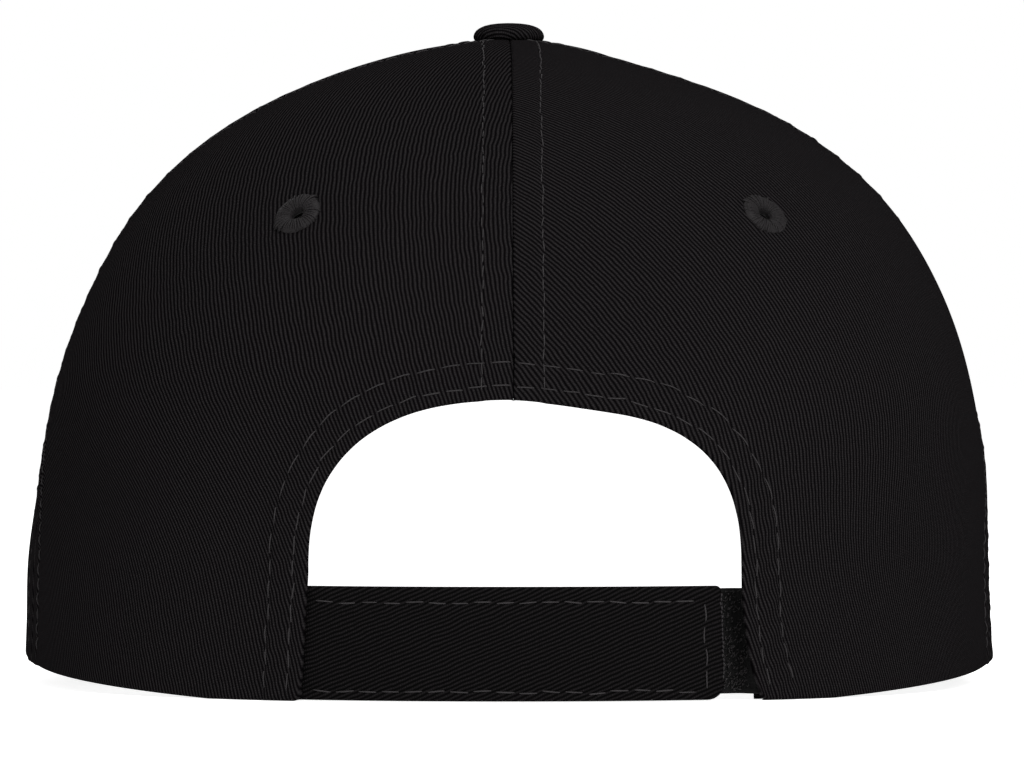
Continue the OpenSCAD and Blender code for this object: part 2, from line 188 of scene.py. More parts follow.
class CapSurface:
    """Curved surfaces shared by the pieces of the cap, in millimetres."""

    def __init__(self, sizes: CapSizes) -> None:
        """Sets out the surfaces of a cap of these sizes.

        Args:
            sizes: Sizes of the sewn cap.
        """
        self.sizes = sizes
        edge = self.visor_xy(np.ones(101), np.linspace(-1, 1, 101), sizes.visor_tuck)
        self.visor_lowest = float(self.visor_shape(edge).min())

    def radius(self, angle: Array, z: Array, depth: Array) -> Array:
        """Distance from the crown's axis to its surface.

        Args:
            angle: Angle round the crown.
            z: Height.
            depth: Depth below the face.
        Returns:
            The radius at each place.
        """
        s = self.sizes
        top = s.height - depth
        sin, cos = np.abs(np.sin(np.radians(angle))), np.cos(np.radians(angle))
        across = (s.width / 2 - depth) * s.side_round.share(top - z) / s.side_round.share(top)
        back = s.back_round.share(top - z) / s.back_round.share(top)
        front = s.front_round.share(top - z) / s.front_round.share(top)
        along = (s.length / 2 - depth) * np.where(cos > 0, back, front)
        power = (sin / np.maximum(across, 1e-6)) ** s.square
        power = power + (np.abs(cos) / np.maximum(along, 1e-6)) ** s.square
        return power ** (-1 / s.square) + self._unevenness(angle, z)

    def _unevenness(self, angle: Array, z: Array) -> Array:
        """Small differences between the two sides of a sewn crown, as millimetres of radius.

        Args:
            angle: Angle round the crown.
            z: Height.
        Returns:
            The change of radius at each place.
        """
        sin = np.sin(np.radians(angle))
        left, right = np.clip(sin, 0, 1) ** 1.5, np.clip(-sin, 0, 1) ** 1.5
        fuller = 1.45 * smooth((z - 12) / 34) * smooth((113 - z) / 24)
        slack = 3.2 * np.exp(-(((z - 114) / 6) ** 2)) * np.clip((self.sizes.height - z) / 4, 0, 1)
        bulge = 0.6 * np.exp(-(((z - 22) / 10) ** 2)) - 0.8 * np.exp(-(((z - 74) / 14) ** 2))
        return right * (fuller - slack) + left * bulge

    def point(self, angle: Array, z: Array, depth: Array) -> Array:
        """Place on the crown at an angle, a height and a depth.

        Args:
            angle: Angle round the crown.
            z: Height.
            depth: Depth below the face.
        Returns:
            The places.
        """
        angle, z, depth = np.broadcast_arrays(angle, z, depth)
        return round_axis(self.radius(angle, z, depth), np.radians(angle), z)

    def angle_at(self, x: Array, z: float, depth: Array) -> Array:
        """Angle at the back of the crown at which its surface is x millimetres to the side.

        Args:
            x: Distance to the wearer's left.
            z: Height.
            depth: Depth below the face.
        Returns:
            The angle at each place, in degrees.
        """
        angle = np.degrees(np.arcsin(2 * x / self.sizes.length))
        for _ in range(4):
            angle = np.degrees(np.arcsin(x / self.radius(angle, z, depth)))
        return angle

    def visor_xy(self, out: Array, side: Array, depth: float) -> Array:
        """Plan of the visor: out from the crown, 0 to 1, and side from -1 to 1.

        Args:
            out: Share of the way out from the crown.
            side: Share of the way from the middle to either side.
            depth: How far the visor's root is tucked under the crown.
        Returns:
            The places in plan.
        """
        s = self.sizes
        start = self.point(180 - s.visor_reach * side, s.visor_seat, depth)[..., :2]
        reach = (s.visor_len + depth) * np.sqrt(np.maximum(1 - np.abs(side) ** 2.6, 0))
        reach = reach + depth * np.abs(side)
        heading = np.radians(s.visor_fan * side)
        return start + (out * reach)[..., None] * np.stack([np.sin(heading), -np.cos(heading)], -1)

    def visor_shape(self, p: Array) -> Array:
        """Height of the visor's curve before it is set down on the floor."""
        s = self.sizes
        return s.visor_slope * (p[..., 1] + s.length / 2) - s.visor_sag * (2 * p[..., 0] / s.width) ** 2

    def visor_mid(self, p: Array) -> Array:
        """Height of the middle of the visor's thickness."""
        return self.visor_shape(p) - self.visor_lowest + self.sizes.visor_t / 2

    def rim(self, angle: Array, depth: Array) -> Array:
        """Height of the crown's lower edge.

        Args:
            angle: Angle round the crown.
            depth: Depth below the face.
        Returns:
            The height of the edge at each angle.
        """
        s = self.sizes
        a = np.abs(np.where(angle > 180, angle - 360, angle))
        start = 180 - s.visor_reach
        visor = self._visor_rim(a, depth)
        join = self._visor_rim(np.array(start), 0.0)
        side = s.side_rise * np.maximum(a - s.flat_angle, 0) / (90 - s.flat_angle)
        side_join = s.side_rise * (start - s.flat_angle) / (90 - s.flat_angle)
        low = side + (join - side_join) * smooth((a - 90) / (start - 90))
        return np.where(a > start, visor, low)

    def _visor_rim(self, angle: Array, depth: Array) -> Array:
        """Height at which the crown meets the visor's upper face.

        Args:
            angle: Angle round the crown.
            depth: Depth below the face.
        Returns:
            The height at each angle.
        """
        s = self.sizes
        lift = s.visor_t / 2 + s.visor_gap
        first = self.visor_mid(self.point(angle, s.visor_seat, depth)) + lift
        return self.visor_mid(self.point(angle, first, depth)) + lift

    def seam(self, k: int, up: Array) -> Array:
        """Angle of seam k at a share of the way up.

        Args:
            k: Number of the seam, counted from the centre back.
            up: Share up.
        Returns:
            The angle at each share, in degrees.
        """
        s = self.sizes
        drop = s.height * (1 - up) ** 2
        turn = (s.seams_high[k] - 60 * k) * s.seam_round.share(drop)
        return 60 * k + turn + (s.seams[k] - s.seams_high[k]) * smooth((drop / s.height - 0.5) / 0.35)

    def level(self, angle: Array, up: Array, depth: Array, above: float = 0.0) -> Array:
        """Height at a share of the way from the rim to the top.

        Args:
            angle: Angle round the crown.
            up: Share up.
            depth: Depth below the face.
            above: Least height over the rim.
        Returns:
            The height at each place.
        """
        top = self.sizes.height - depth - 0.02
        start = self.rim(angle, depth)
        return np.maximum(start + above, top - (top - start) * (1 - up) ** 2)

    def panel(self, k: int, across: Array, up: Array, depth: Array, above: float = 0.0) -> Array:
        """Place on panel k, where across runs from seam k to seam k + 1.

        Args:
            k: Number of the panel.
            across: Share across.
            up: Share up.
            depth: Depth below the face.
            above: Least height over the rim.
        Returns:
            The places.
        """
        low, high = self.seam(k, up), self.seam(k + 1, up)
        rim_low, rim_high = self.sizes.seams[k], self.sizes.seams[k + 1]
        z = self.level(rim_low + (rim_high - rim_low) * across, up, depth, above)
        angle = low + (high - low) * across
        r = self.radius(angle, z, depth)
        r = r - self.sizes.puff * (2 * across - 1) ** 2 * np.minimum(r / 20, 1)
        return round_axis(r, np.radians(angle), z)


# ---------------- meshes


def grid_faces(rows: int, cols: int, flip: bool = False, ring: bool = False) -> Array:
    """Quads of a grid of vertices numbered row by row.

    Args:
        rows: Number of rows of vertices.
        cols: Number of vertices in a row.
        flip: Turn the faces over.
        ring: Join the last vertex of each row to the first.
    Returns:
        One row of four vertex numbers for each quad.
    """
    j, i = np.mgrid[0 : rows - 1, 0 : cols if ring else cols - 1]
    right = (i + 1) % cols
    quads = np.stack([j * cols + i, j * cols + right, (j + 1) * cols + right, (j + 1) * cols + i], -1)
    quads = quads.reshape(-1, 4)
    return quads[:, ::-1] if flip else quads


@dataclass
class Shape:
    """Vertices, faces and cloth coordinates of a piece, gathered part by part."""

    points: list = field(default_factory=list)
    faces: list = field(default_factory=list)
    cloth: list = field(default_factory=list)
    count: int = 0

    def add(self, points: Array, faces: Array | list, cloth: Array | None = None) -> None:
        """Adds a part; cloth holds two coordinates in millimetres for each vertex.

        Args:
            points: Places of its vertices.
            faces: Vertex numbers of its faces.
            cloth: Two cloth coordinates for each vertex, in millimetres.
        """
        flat = np.asarray(points, float).reshape(-1, 3)
        self.points.append(flat)
        self.cloth.append(np.zeros((len(flat), 2)) if cloth is None else cloth.reshape(-1, 2))
        self.faces.extend([[int(v) + self.count for v in f] for f in faces])
        self.count += len(flat)

    def add_grid(self, points: Array, cloth: Array | None = None, flip: bool = False,
                 ring: bool = False, ends: bool = False) -> None:
        """Adds a grid of vertices, given as rows of places; ends closes its first and last rows.

        Args:
            points: Rows of places.
            cloth: Cloth coordinates of the places.
            flip: Turn the faces over.
            ring: Join the last place of each row to the first.
            ends: Close the first and last rows.
        """
        rows, cols = points.shape[:2]
        faces = grid_faces(rows, cols, flip, ring).tolist()
        if ends:
            first, last = list(range(cols)), list(range((rows - 1) * cols, rows * cols))
            faces += [first, last[::-1]] if flip else [first[::-1], last]
        self.add(points, faces, cloth)

    def build(self, name: str, material: Material) -> Piece:
        """Makes the mesh object.

        Args:
            name: Name of the object.
            material: Its finish.
        Returns:
            The new object, linked to the scene, in metres.
        """
        mesh = bpy.data.meshes.new(name)
        points = np.concatenate(self.points) * MM
        mesh.from_pydata(points.tolist(), [], self.faces)
        cloth = np.concatenate(self.cloth)
        corner = np.zeros(len(mesh.loops), np.int32)
        mesh.loops.foreach_get("vertex_index", corner)
        mesh.uv_layers.new(name=CLOTH_UV).data.foreach_set("uv", cloth[corner].ravel())
        mesh.polygons.foreach_set("use_smooth", np.ones(len(mesh.polygons), bool))
        mesh.materials.append(material)
        mesh.update()
        made = bpy.data.objects.new(name, mesh)
        bpy.context.scene.collection.objects.link(made)
        return made


def dressed(shape: Shape, name: str, material: Material, slot: str, *nodes: str,
            body: str = "crown") -> Piece:
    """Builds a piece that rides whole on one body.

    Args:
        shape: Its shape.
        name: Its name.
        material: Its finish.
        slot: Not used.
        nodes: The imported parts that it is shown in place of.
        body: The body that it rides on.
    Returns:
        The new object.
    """
    made = shape.build(name, material)
    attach(made, body)
    if nodes:
        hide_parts(*nodes)
    return made


def add_tubes(shape: Shape, paths: Array, ups: Array, radius: Array, sides: int = 6) -> None:
    """Adds many closed threads of the same number of places each.

    Args:
        shape: The shape that takes them.
        paths: Places along each thread, as thread x place x 3.
        ups: A direction across each thread at each place, in the same shape.
        radius: Radius at each place, as a value or as thread x place.
        sides: Number of sides of the thread.
    """
    count, steps = paths.shape[:2]
    ahead = unit(np.gradient(paths, axis=1))
    side = unit(np.cross(ahead, ups))
    up = np.cross(side, ahead)
    turn = np.arange(sides) * TAU / sides
    radius = np.broadcast_to(radius, (count, steps))[..., None, None]
    ring = paths[:, :, None] + radius * (
        side[:, :, None] * np.cos(turn)[:, None] + up[:, :, None] * np.sin(turn)[:, None]
    )
    along = np.concatenate([np.zeros((count, 1)), np.cumsum(
        np.linalg.norm(np.diff(paths, axis=1), axis=2), 1)], 1)
    cloth = np.stack(np.broadcast_arrays(
        (turn * 0.2)[None, None, :], along[:, :, None]), -1)
    quads = grid_faces(steps, sides, ring=True)
    ends = np.array([range(sides - 1, -1, -1), range((steps - 1) * sides, steps * sides)])
    for n in range(count):
        offset = shape.count
        shape.points.append(ring[n].reshape(-1, 3))
        shape.cloth.append(cloth[n].reshape(-1, 2))
        shape.faces.extend((quads + offset).tolist())
        shape.faces.extend((ends + offset).tolist())
        shape.count += steps * sides


# ---------------- cloth laid on a curved piece


class FlatPattern:
    """Flat cloth coordinates of a curved panel, in millimetres, for a given run of the grain.

    The panel's cloth is laid so that its second coordinate runs along the grain everywhere as
    nearly as the curve allows, which bends the twill lines the way a sewn panel does.
    """

    ROUNDS = 260

    def __init__(self, points: Array, grain: Array) -> None:
        """Lays the cloth over a grid of places.

        Args:
            points: Places of the panel, as rows of places.
            grain: Unit direction of the grain at each place.
        """
        self.rows, self.cols = points.shape[:2]
        step_x, step_y = np.diff(points, axis=1), np.diff(points, axis=0)
        long_x, long_y = np.linalg.norm(step_x, axis=2), np.linalg.norm(step_y, axis=2)
        tall = (np.vstack([long_y[:1], long_y]) + np.vstack([long_y, long_y[-1:]])) / 2
        wide = (np.hstack([long_x[:, :1], long_x]) + np.hstack([long_x, long_x[:, -1:]])) / 2
        self.weight_x = np.clip((tall[:, 1:] + tall[:, :-1]) / 2 / np.maximum(long_x, 1e-3), 0.02, 50)
        self.weight_y = np.clip((wide[1:] + wide[:-1]) / 2 / np.maximum(long_y, 1e-3), 0.02, 50)
        normal = unit(np.cross(np.gradient(points, axis=0), np.gradient(points, axis=1)))
        weft = unit(np.cross(grain, normal))
        self.cloth = np.stack([self._lay(weft, step_x, step_y), self._lay(grain, step_x, step_y)], -1)

    def _lay(self, along: Array, step_x: Array, step_y: Array) -> Array:
        """Least-squares coordinate whose slope follows one direction.

        Args:
            along: Unit direction that the coordinate follows, at each place.
            step_x: Steps between places along the rows.
            step_y: Steps between places up the columns.
        Returns:
            The coordinate at each place.
        """
        want_x = np.sum((along[:, 1:] + along[:, :-1]) / 2 * step_x, -1) * self.weight_x
        want_y = np.sum((along[1:] + along[:-1]) / 2 * step_y, -1) * self.weight_y
        goal = self._gather(want_x, want_y)
        scale = self._gather(self.weight_x, self.weight_y, both=True)
        value = np.zeros((self.rows, self.cols))
        left = goal.copy()
        move = left / scale
        size = float(np.sum(left * move))
        for _ in range(self.ROUNDS):
            spread = self._gather(np.diff(move, axis=1) * self.weight_x,
                                  np.diff(move, axis=0) * self.weight_y)
            step = size / max(float(np.sum(move * spread)), 1e-20)
            value += step * move
            left -= step * spread
            eased = left / scale
            fresh = float(np.sum(left * eased))
            if fresh < 1e-12:
                break
            move = eased + fresh / size * move
            size = fresh
        return value

    def _gather(self, x: Array, y: Array, both: bool = False) -> Array:
        """Sums the values of the steps that meet at each place.

        Args:
            x: Value of each step along the rows.
            y: Value of each step up the columns.
            both: Add both ends of a step instead of taking one from the other.
        Returns:
            The sum at each place.
        """
        total = np.zeros((self.rows, self.cols))
        sign = 1 if both else -1
        total[:, 1:] += x
        total[:, :-1] += sign * x
        total[1:] += y
        total[:-1] += sign * y
        return total

    def at(self, across: Array, up: Array) -> Array:
        """Cloth coordinates at shares of the way across and up the panel.

        Args:
            across: Share across.
            up: Share up.
        Returns:
            Two coordinates for each place, in millimetres.
        """
        x = np.clip(across, 0, 1) * (self.cols - 1)
        y = np.clip(up, 0, 1) * (self.rows - 1)
        i = np.minimum(x.astype(int), self.cols - 2)
        j = np.minimum(y.astype(int), self.rows - 2)
        fx, fy = (x - i)[..., None], (y - j)[..., None]
        c = self.cloth
        low = c[j, i] * (1 - fx) + c[j, i + 1] * fx
        high = c[j + 1, i] * (1 - fx) + c[j + 1, i + 1] * fx
        return low * (1 - fy) + high * fy


# ---------------- finishes


def linear(colour: str) -> tuple[float, float, float, float]:
    """Linear colour of an sRGB hex colour."""
    parts = [int(colour[n : n + 2], 16) / 255 for n in (1, 3, 5)]
    return (*[c / 12.92 if c <= 0.04045 else ((c + 0.055) / 1.055) ** 2.4 for c in parts], 1.0)


class Nodes:
    """Node tree of one material, with a single function that adds to it."""

    def __init__(self, name: str) -> None:
        """Makes a material with an empty node tree and its output.

        Args:
            name: Name of the material.
        """
        self.material = bpy.data.materials.new(name)
        self.material.use_nodes = True
        self.tree = self.material.node_tree
        self.tree.nodes.clear()
        self.output = self.tree.nodes.new("ShaderNodeOutputMaterial")

    def add(self, kind: str, links: dict | None = None, sockets: dict | None = None,
            **settings: object) -> bpy.types.Node:
        """Adds a node.

        Args:
            kind: Its type without the leading "ShaderNode".
            links: Output sockets to join to its inputs, by input name or number.
            sockets: Plain values of its inputs, by input name or number.
            settings: Its own settings.
        Returns:
            The new node.
        """
        node = self.tree.nodes.new(f"ShaderNode{kind}")
        for key, value in settings.items():
            setattr(node, key, value)
        for key, value in (sockets or {}).items():
            node.inputs[key].default_value = value
        for key, source in (links or {}).items():
            self.tree.links.new(source, node.inputs[key])
        return node

    def math(self, operation: str, *values: object) -> Socket:
        """Adds a sum of one kind of plain values and sockets, and returns its result.

        Args:
            operation: Name of the sum.
            values: Plain values and output sockets that it works on.
        Returns:
            The output socket of the sum.
        """
        node = self.add("Math", operation=operation)
        for slot, value in enumerate(values):
            if isinstance(value, Socket):
                self.tree.links.new(value, node.inputs[slot])
            else:
                node.inputs[slot].default_value = value
        return node.outputs[0]

    def wave(self, place: object, turns: float = 1.0) -> Socket:
        """Adds a wave from 0 to 1 that peaks at each whole number."""
        return self.math("MULTIPLY_ADD", self.math("COSINE", self.math(
            "MULTIPLY", place, TAU * turns)), 0.5, 0.5)

    def close(self, shader: bpy.types.Node) -> Material:
        """Joins a shader to the output and returns the material."""
        self.tree.links.new(shader.outputs[0], self.output.inputs[0])
        return self.material


@dataclass(frozen=True)
class TwillFinish:
    """Black cotton twill: raised diagonal wales, each a row of short warp floats."""

    name: str
    low: str
    high: str
    pitch: float = 0.735
    lean: float = 21.0
    float_len: float = 0.42
    relief: float = 0.2
    roughness: float = 1.0

    def make(self) -> Material:
        """Builds the material: matt cotton whose colour carries painted light on the crests of the wales
        and painted shade in the grooves.

        Returns:
            The material.
        """
        n = Nodes(self.name)
        place = n.add("UVMap", uv_map=CLOTH_UV).outputs[0]
        split = n.add("SeparateXYZ", {0: place})
        u, v = split.outputs[0], split.outputs[1]
        lean = math.radians(self.lean)
        # Uneven spinning and weaving: the wales wander by a small share of their spacing.
        drift = n.add("TexNoise", {"Vector": place}, {"Scale": 0.22, "Detail": 2.0}).outputs[0]
        across = n.math("MULTIPLY_ADD", v, math.sin(lean) / self.pitch, n.math(
            "MULTIPLY_ADD", u, math.cos(lean) / self.pitch, n.math("MULTIPLY", drift, 0.9)))
        along = n.math("MULTIPLY_ADD", v, math.cos(lean) / self.float_len, n.math(
            "MULTIPLY", u, -math.sin(lean) / self.float_len))
        wale = n.wave(across)
        # Each float starts half a float later than the one on the next wale.
        beads = n.wave(n.math("MULTIPLY_ADD", across, 0.5, along))
        height = n.math("MULTIPLY", wale, n.math("MULTIPLY_ADD", beads, 0.34, 0.66))
        grain = n.add("TexNoise", {"Vector": place}, {"Scale": 2.6, "Detail": 3.0}).outputs[0]
        # Light reaches only the crests of the wales, so the painted colour falls off steeply into the
        # grooves as painted shade; the grain noise adds the cloth's own uneven tone.
        crest = n.math("POWER", height, 1.25)
        lit = n.math("MULTIPLY", crest, n.math("MULTIPLY_ADD", grain, 1.3, 0.3))
        colour = n.add("Mix", {0: lit}, {6: linear(self.low), 7: linear(self.high)},
                       data_type="RGBA", clamp_factor=False)
        bump = n.add("Bump", {"Height": height}, {"Strength": 1.0, "Distance": self.relief * MM})
        shader = n.add("BsdfPrincipled", {"Base Color": colour.outputs[2], "Normal": bump.outputs[0]},
                       {"Roughness": self.roughness, "Specular IOR Level": 0.0})
        return n.close(shader)


@dataclass(frozen=True)
class WeaveFinish:
    """Plain weave of crossing threads, as tape, backing and open buckram."""

    name: str
    low: str
    high: str
    pitch: float
    relief: float = 0.08
    roughness: float = 0.85
    rib: float = 0.0

    def make(self) -> Material:
        """Builds the material: crossing threads that read as a fine, even grid or rib, lighter on the
        threads as painted light and darker between them as painted shade.

        Returns:
            The material.
        """
        n = Nodes(self.name)
        place = n.add("UVMap", uv_map=CLOTH_UV).outputs[0]
        split = n.add("SeparateXYZ", {0: place})
        warp = n.wave(n.math("DIVIDE", split.outputs[0], self.pitch))
        weft = n.wave(n.math("DIVIDE", split.outputs[1], self.pitch))
        grid = n.math("MAXIMUM", n.math("MULTIPLY", warp, 1 - self.rib), weft)
        fibre = n.add("TexNoise", {"Vector": place}, {"Scale": 1.9, "Detail": 3.0}).outputs[0]
        # Painted light and shade: the colour is lighter on the threads and darker between them; the fibre
        # noise adds the cloth's own uneven tone.
        lit = n.math("MULTIPLY", grid, n.math("MULTIPLY_ADD", fibre, 0.9, 0.5))
        colour = n.add("Mix", {0: lit}, {6: linear(self.low), 7: linear(self.high)}, data_type="RGBA")
        bump = n.add("Bump", {"Height": grid}, {"Strength": 1.0, "Distance": self.relief * MM})
        shader = n.add("BsdfPrincipled", {"Base Color": colour.outputs[2], "Normal": bump.outputs[0]},
                       {"Roughness": self.roughness, "Specular IOR Level": 0.2})
        return n.close(shader)


@dataclass(frozen=True)
class ThreadFinish:
    """Twisted sewing or embroidery thread, whose plies wind round it."""

    name: str
    colour: str
    twist: float = 0.55
    roughness: float = 0.42
    level: float = 0.5

    def make(self) -> Material:
        """Builds the material: a soft shine broken by the turns of the plies.

        Returns:
            The material.
        """
        n = Nodes(self.name)
        split = n.add("SeparateXYZ", {0: n.add("UVMap", uv_map=CLOTH_UV).outputs[0]})
        plies = n.wave(n.math("MULTIPLY_ADD", split.outputs[0], 1 / 1.2, n.math(
            "DIVIDE", split.outputs[1], self.twist)))
        bump = n.add("Bump", {"Height": plies}, {"Strength": 0.6, "Distance": 0.05 * MM})
        return n.close(n.add("BsdfPrincipled", {"Normal": bump.outputs[0]},
                             {"Base Color": linear(self.colour), "Roughness": self.roughness,
                              "Specular IOR Level": self.level}))


@dataclass(frozen=True)
class SmoothFinish:
    """Moulded plastic or pressed steel, with fine unevenness in its shine."""

    name: str
    colour: str
    roughness: float
    metal: float = 0.0
    grain: float = 400.0

    def make(self) -> Material:
        """Builds the material: an even colour whose shine varies a little over the piece.

        Returns:
            The material.
        """
        n = Nodes(self.name)
        place = n.add("TexCoord").outputs["Object"]
        noise = n.add("TexNoise", {"Vector": place}, {"Scale": self.grain, "Detail": 4.0}).outputs[0]
        rough = n.math("MULTIPLY_ADD", noise, 0.25, self.roughness - 0.12)
        bump = n.add("Bump", {"Height": noise}, {"Strength": 0.3, "Distance": 0.05 * MM})
        return n.close(n.add("BsdfPrincipled", {"Roughness": rough, "Normal": bump.outputs[0]},
                             {"Base Color": linear(self.colour), "Metallic": self.metal}))


class Finishes:
    """The finishes of the cap, each made once."""

    def __init__(self) -> None:
        """Makes every material."""
        # Low and high colours of each twill: painted shade in the grooves and painted light on the wale
        # crests.
        self.twill = TwillFinish("crown_twill", "#060506", "#292728").make()
        self.strap_twill = TwillFinish("strap_twill", "#060606", "#1f1d1e", 0.68, -67.0).make()
        # Low and high colours of each weave: painted shade between the threads and painted light on them.
        self.backing = WeaveFinish("fused_backing", "#0b0b0c", "#1d1d1f", 0.5).make()
        self.tape = WeaveFinish("seam_tape", "#0e0e0f", "#2a292b", 0.62, rib=0.75).make()
        self.padding = WeaveFinish("nonwoven_padding", "#141415", "#2c2c2e", 1.3).make()
        self.buckram = WeaveFinish("buckram", "#8d8b84", "#dad8d0", 1.1, 0.15).make()
        self.ground = WeaveFinish("loop_ground", "#020202", "#080808", 0.6).make()
        self.thread = ThreadFinish("sewing_thread", "#302e2f", roughness=0.7, level=0.1).make()
        self.eyelet = ThreadFinish("eyelet_thread", "#1e1c1d", 0.5, 0.6, 0.12).make()
        self.pile = ThreadFinish("loop_pile", "#454243", 0.4, 0.7, 0.15).make()
        self.hooks = SmoothFinish("hook_tape", "#121213", 0.4).make()
        self.board = SmoothFinish("visor_board", "#171718", 0.6).make()
        self.steel = SmoothFinish("button_steel", "#9a9ca0", 0.35, 1.0).make()


# ---------------- sewing


@dataclass(frozen=True)
class StitchSizes:
    """One row of machine stitching, in millimetres."""

    pitch: float = 2.7
    share: float = 0.96
    radius: float = 0.11
    dip: float = 0.34
    wander: float = 0.11


def sew(shape: Shape, path: Array, normal: Array, run: Array, sizes: StitchSizes,
        rng: np.random.Generator) -> None:
    """Adds a row of stitches that lie on a path and dive in at both ends.

    Args:
        shape: The shape that takes the stitches.
        path: Places along the row.
        normal: Outward direction at each place.
        run: Running length at each place, from which the stitches are counted.
        sizes: Sizes of the stitches.
        rng: Source of the small unevenness.
    """
    first, last = math.ceil(run[0] / sizes.pitch), math.floor(run[-1] / sizes.pitch)
    count = last - first
    if count < 1:
        return
    t = np.linspace(0, 1, 8)
    start = (first + np.arange(count)) * sizes.pitch + (1 - sizes.share) / 2 * sizes.pitch
    at = start[:, None] + t * sizes.pitch * sizes.share
    place, up = picked(path, run, at), unit(picked(normal, run, at))
    ahead = unit(np.gradient(place, axis=1))
    side = np.cross(ahead, up)
    height = sizes.radius * 0.75 - sizes.dip * np.abs(2 * t - 1) ** 5
    height = height[None] + rng.normal(0, 0.03, (count, 1))
    slant = rng.normal(0, sizes.wander, (count, 1)) + (2 * t - 1) * rng.normal(
        0, sizes.wander * 0.8, (count, 1))
    swell = sizes.radius * (0.8 + 0.3 * np.sin(np.pi * t))[None] * rng.uniform(0.9, 1.1, (count, 1))
    add_tubes(shape, place + up * height[..., None] + side * slant[..., None], up, swell)


def fold_drop(distance: Array, radius: float) -> Array:
    """Drop of a cloth's face near its folded edge."""
    near = np.clip(radius - distance, 0, radius)
    return radius - np.sqrt(np.maximum(radius**2 - near**2, 0))


@dataclass(frozen=True)
class SeamRelief:
    """Shape of the cloth beside a sewn edge, in millimetres."""

    fold: float = 0.55
    ridge: float = 0.34
    width: float = 5.2
    valley: float = 0.26
    pucker: float = 0.07
    pitch: float = 2.7

    def height(self, distance: Array, run: Array, seed: float) -> Array:
        """Height of the face at a distance from the edge and a length along it.

        Args:
            distance: Distance from the sewn edge.
            run: Length along the edge.
            seed: Number that sets this edge's unevenness.
        Returns:
            The height over the plain face.
        """
        wave = TAU * run / self.pitch
        row = np.exp(-(((distance - self.width) / 0.5) ** 2))
        rise = self.ridge * (1 - smooth((distance - self.width + 0.5) / 1.5))
        near = np.exp(-(((distance - self.width) / 2.2) ** 2))
        crease = self.pucker * near * np.sin(wave / 2 + 1.8 * ripple(run / 9, distance / 3, seed))
        return rise - row * self.valley * (0.68 + 0.32 * np.cos(wave)) + crease


@dataclass(frozen=True)
class HemRelief:
    """Shape of the cloth beside the back opening, which has two rows of stitches."""

    fold: float = 0.6
    inner: float = 2.3
    outer: float = 6.4
    ridge: float = 0.42
    valley: float = 0.3
    pucker: float = 0.12
    pitch: float = 3.9

    def height(self, distance: Array, run: Array, seed: float) -> Array:
        """Height of the face at a distance from the opening and a length round it.

        Args:
            distance: Distance from the opening.
            run: Length round the opening.
            seed: Number that sets the unevenness.
        Returns:
            The height over the plain face.
        """
        wave = TAU * run / self.pitch
        total = self.ridge * (1 - smooth((distance - self.outer + 0.6) / 1.6))
        for at, shift in ((self.inner, 0.0), (self.outer, 1.9)):
            row = np.exp(-(((distance - at) / 0.48) ** 2))
            total = total - row * self.valley * (0.65 + 0.35 * np.cos(wave + shift))
        between = np.exp(-(((distance - 4.3) / 2.4) ** 2))
        folds = np.sin(wave * 0.93 + 1.1 * distance + 2.2 * ripple(run / 11, distance / 4, seed))
        return total + self.pucker * between * folds + 0.05 * ripple(run / 2.2, distance, seed + 5)


@dataclass(frozen=True)
class OpeningSide:
    """One side of the back opening, in millimetres; its foot spreads towards the rim."""

    half: float
    square: float
    flare: float
    bend: float

    def foot(self, z: Array, spring: float) -> Array:
        """Half width of the opening below the spring of its arch."""
        return self.half + self.flare * np.clip((spring - z) / spring, 0, 1.25) ** self.bend


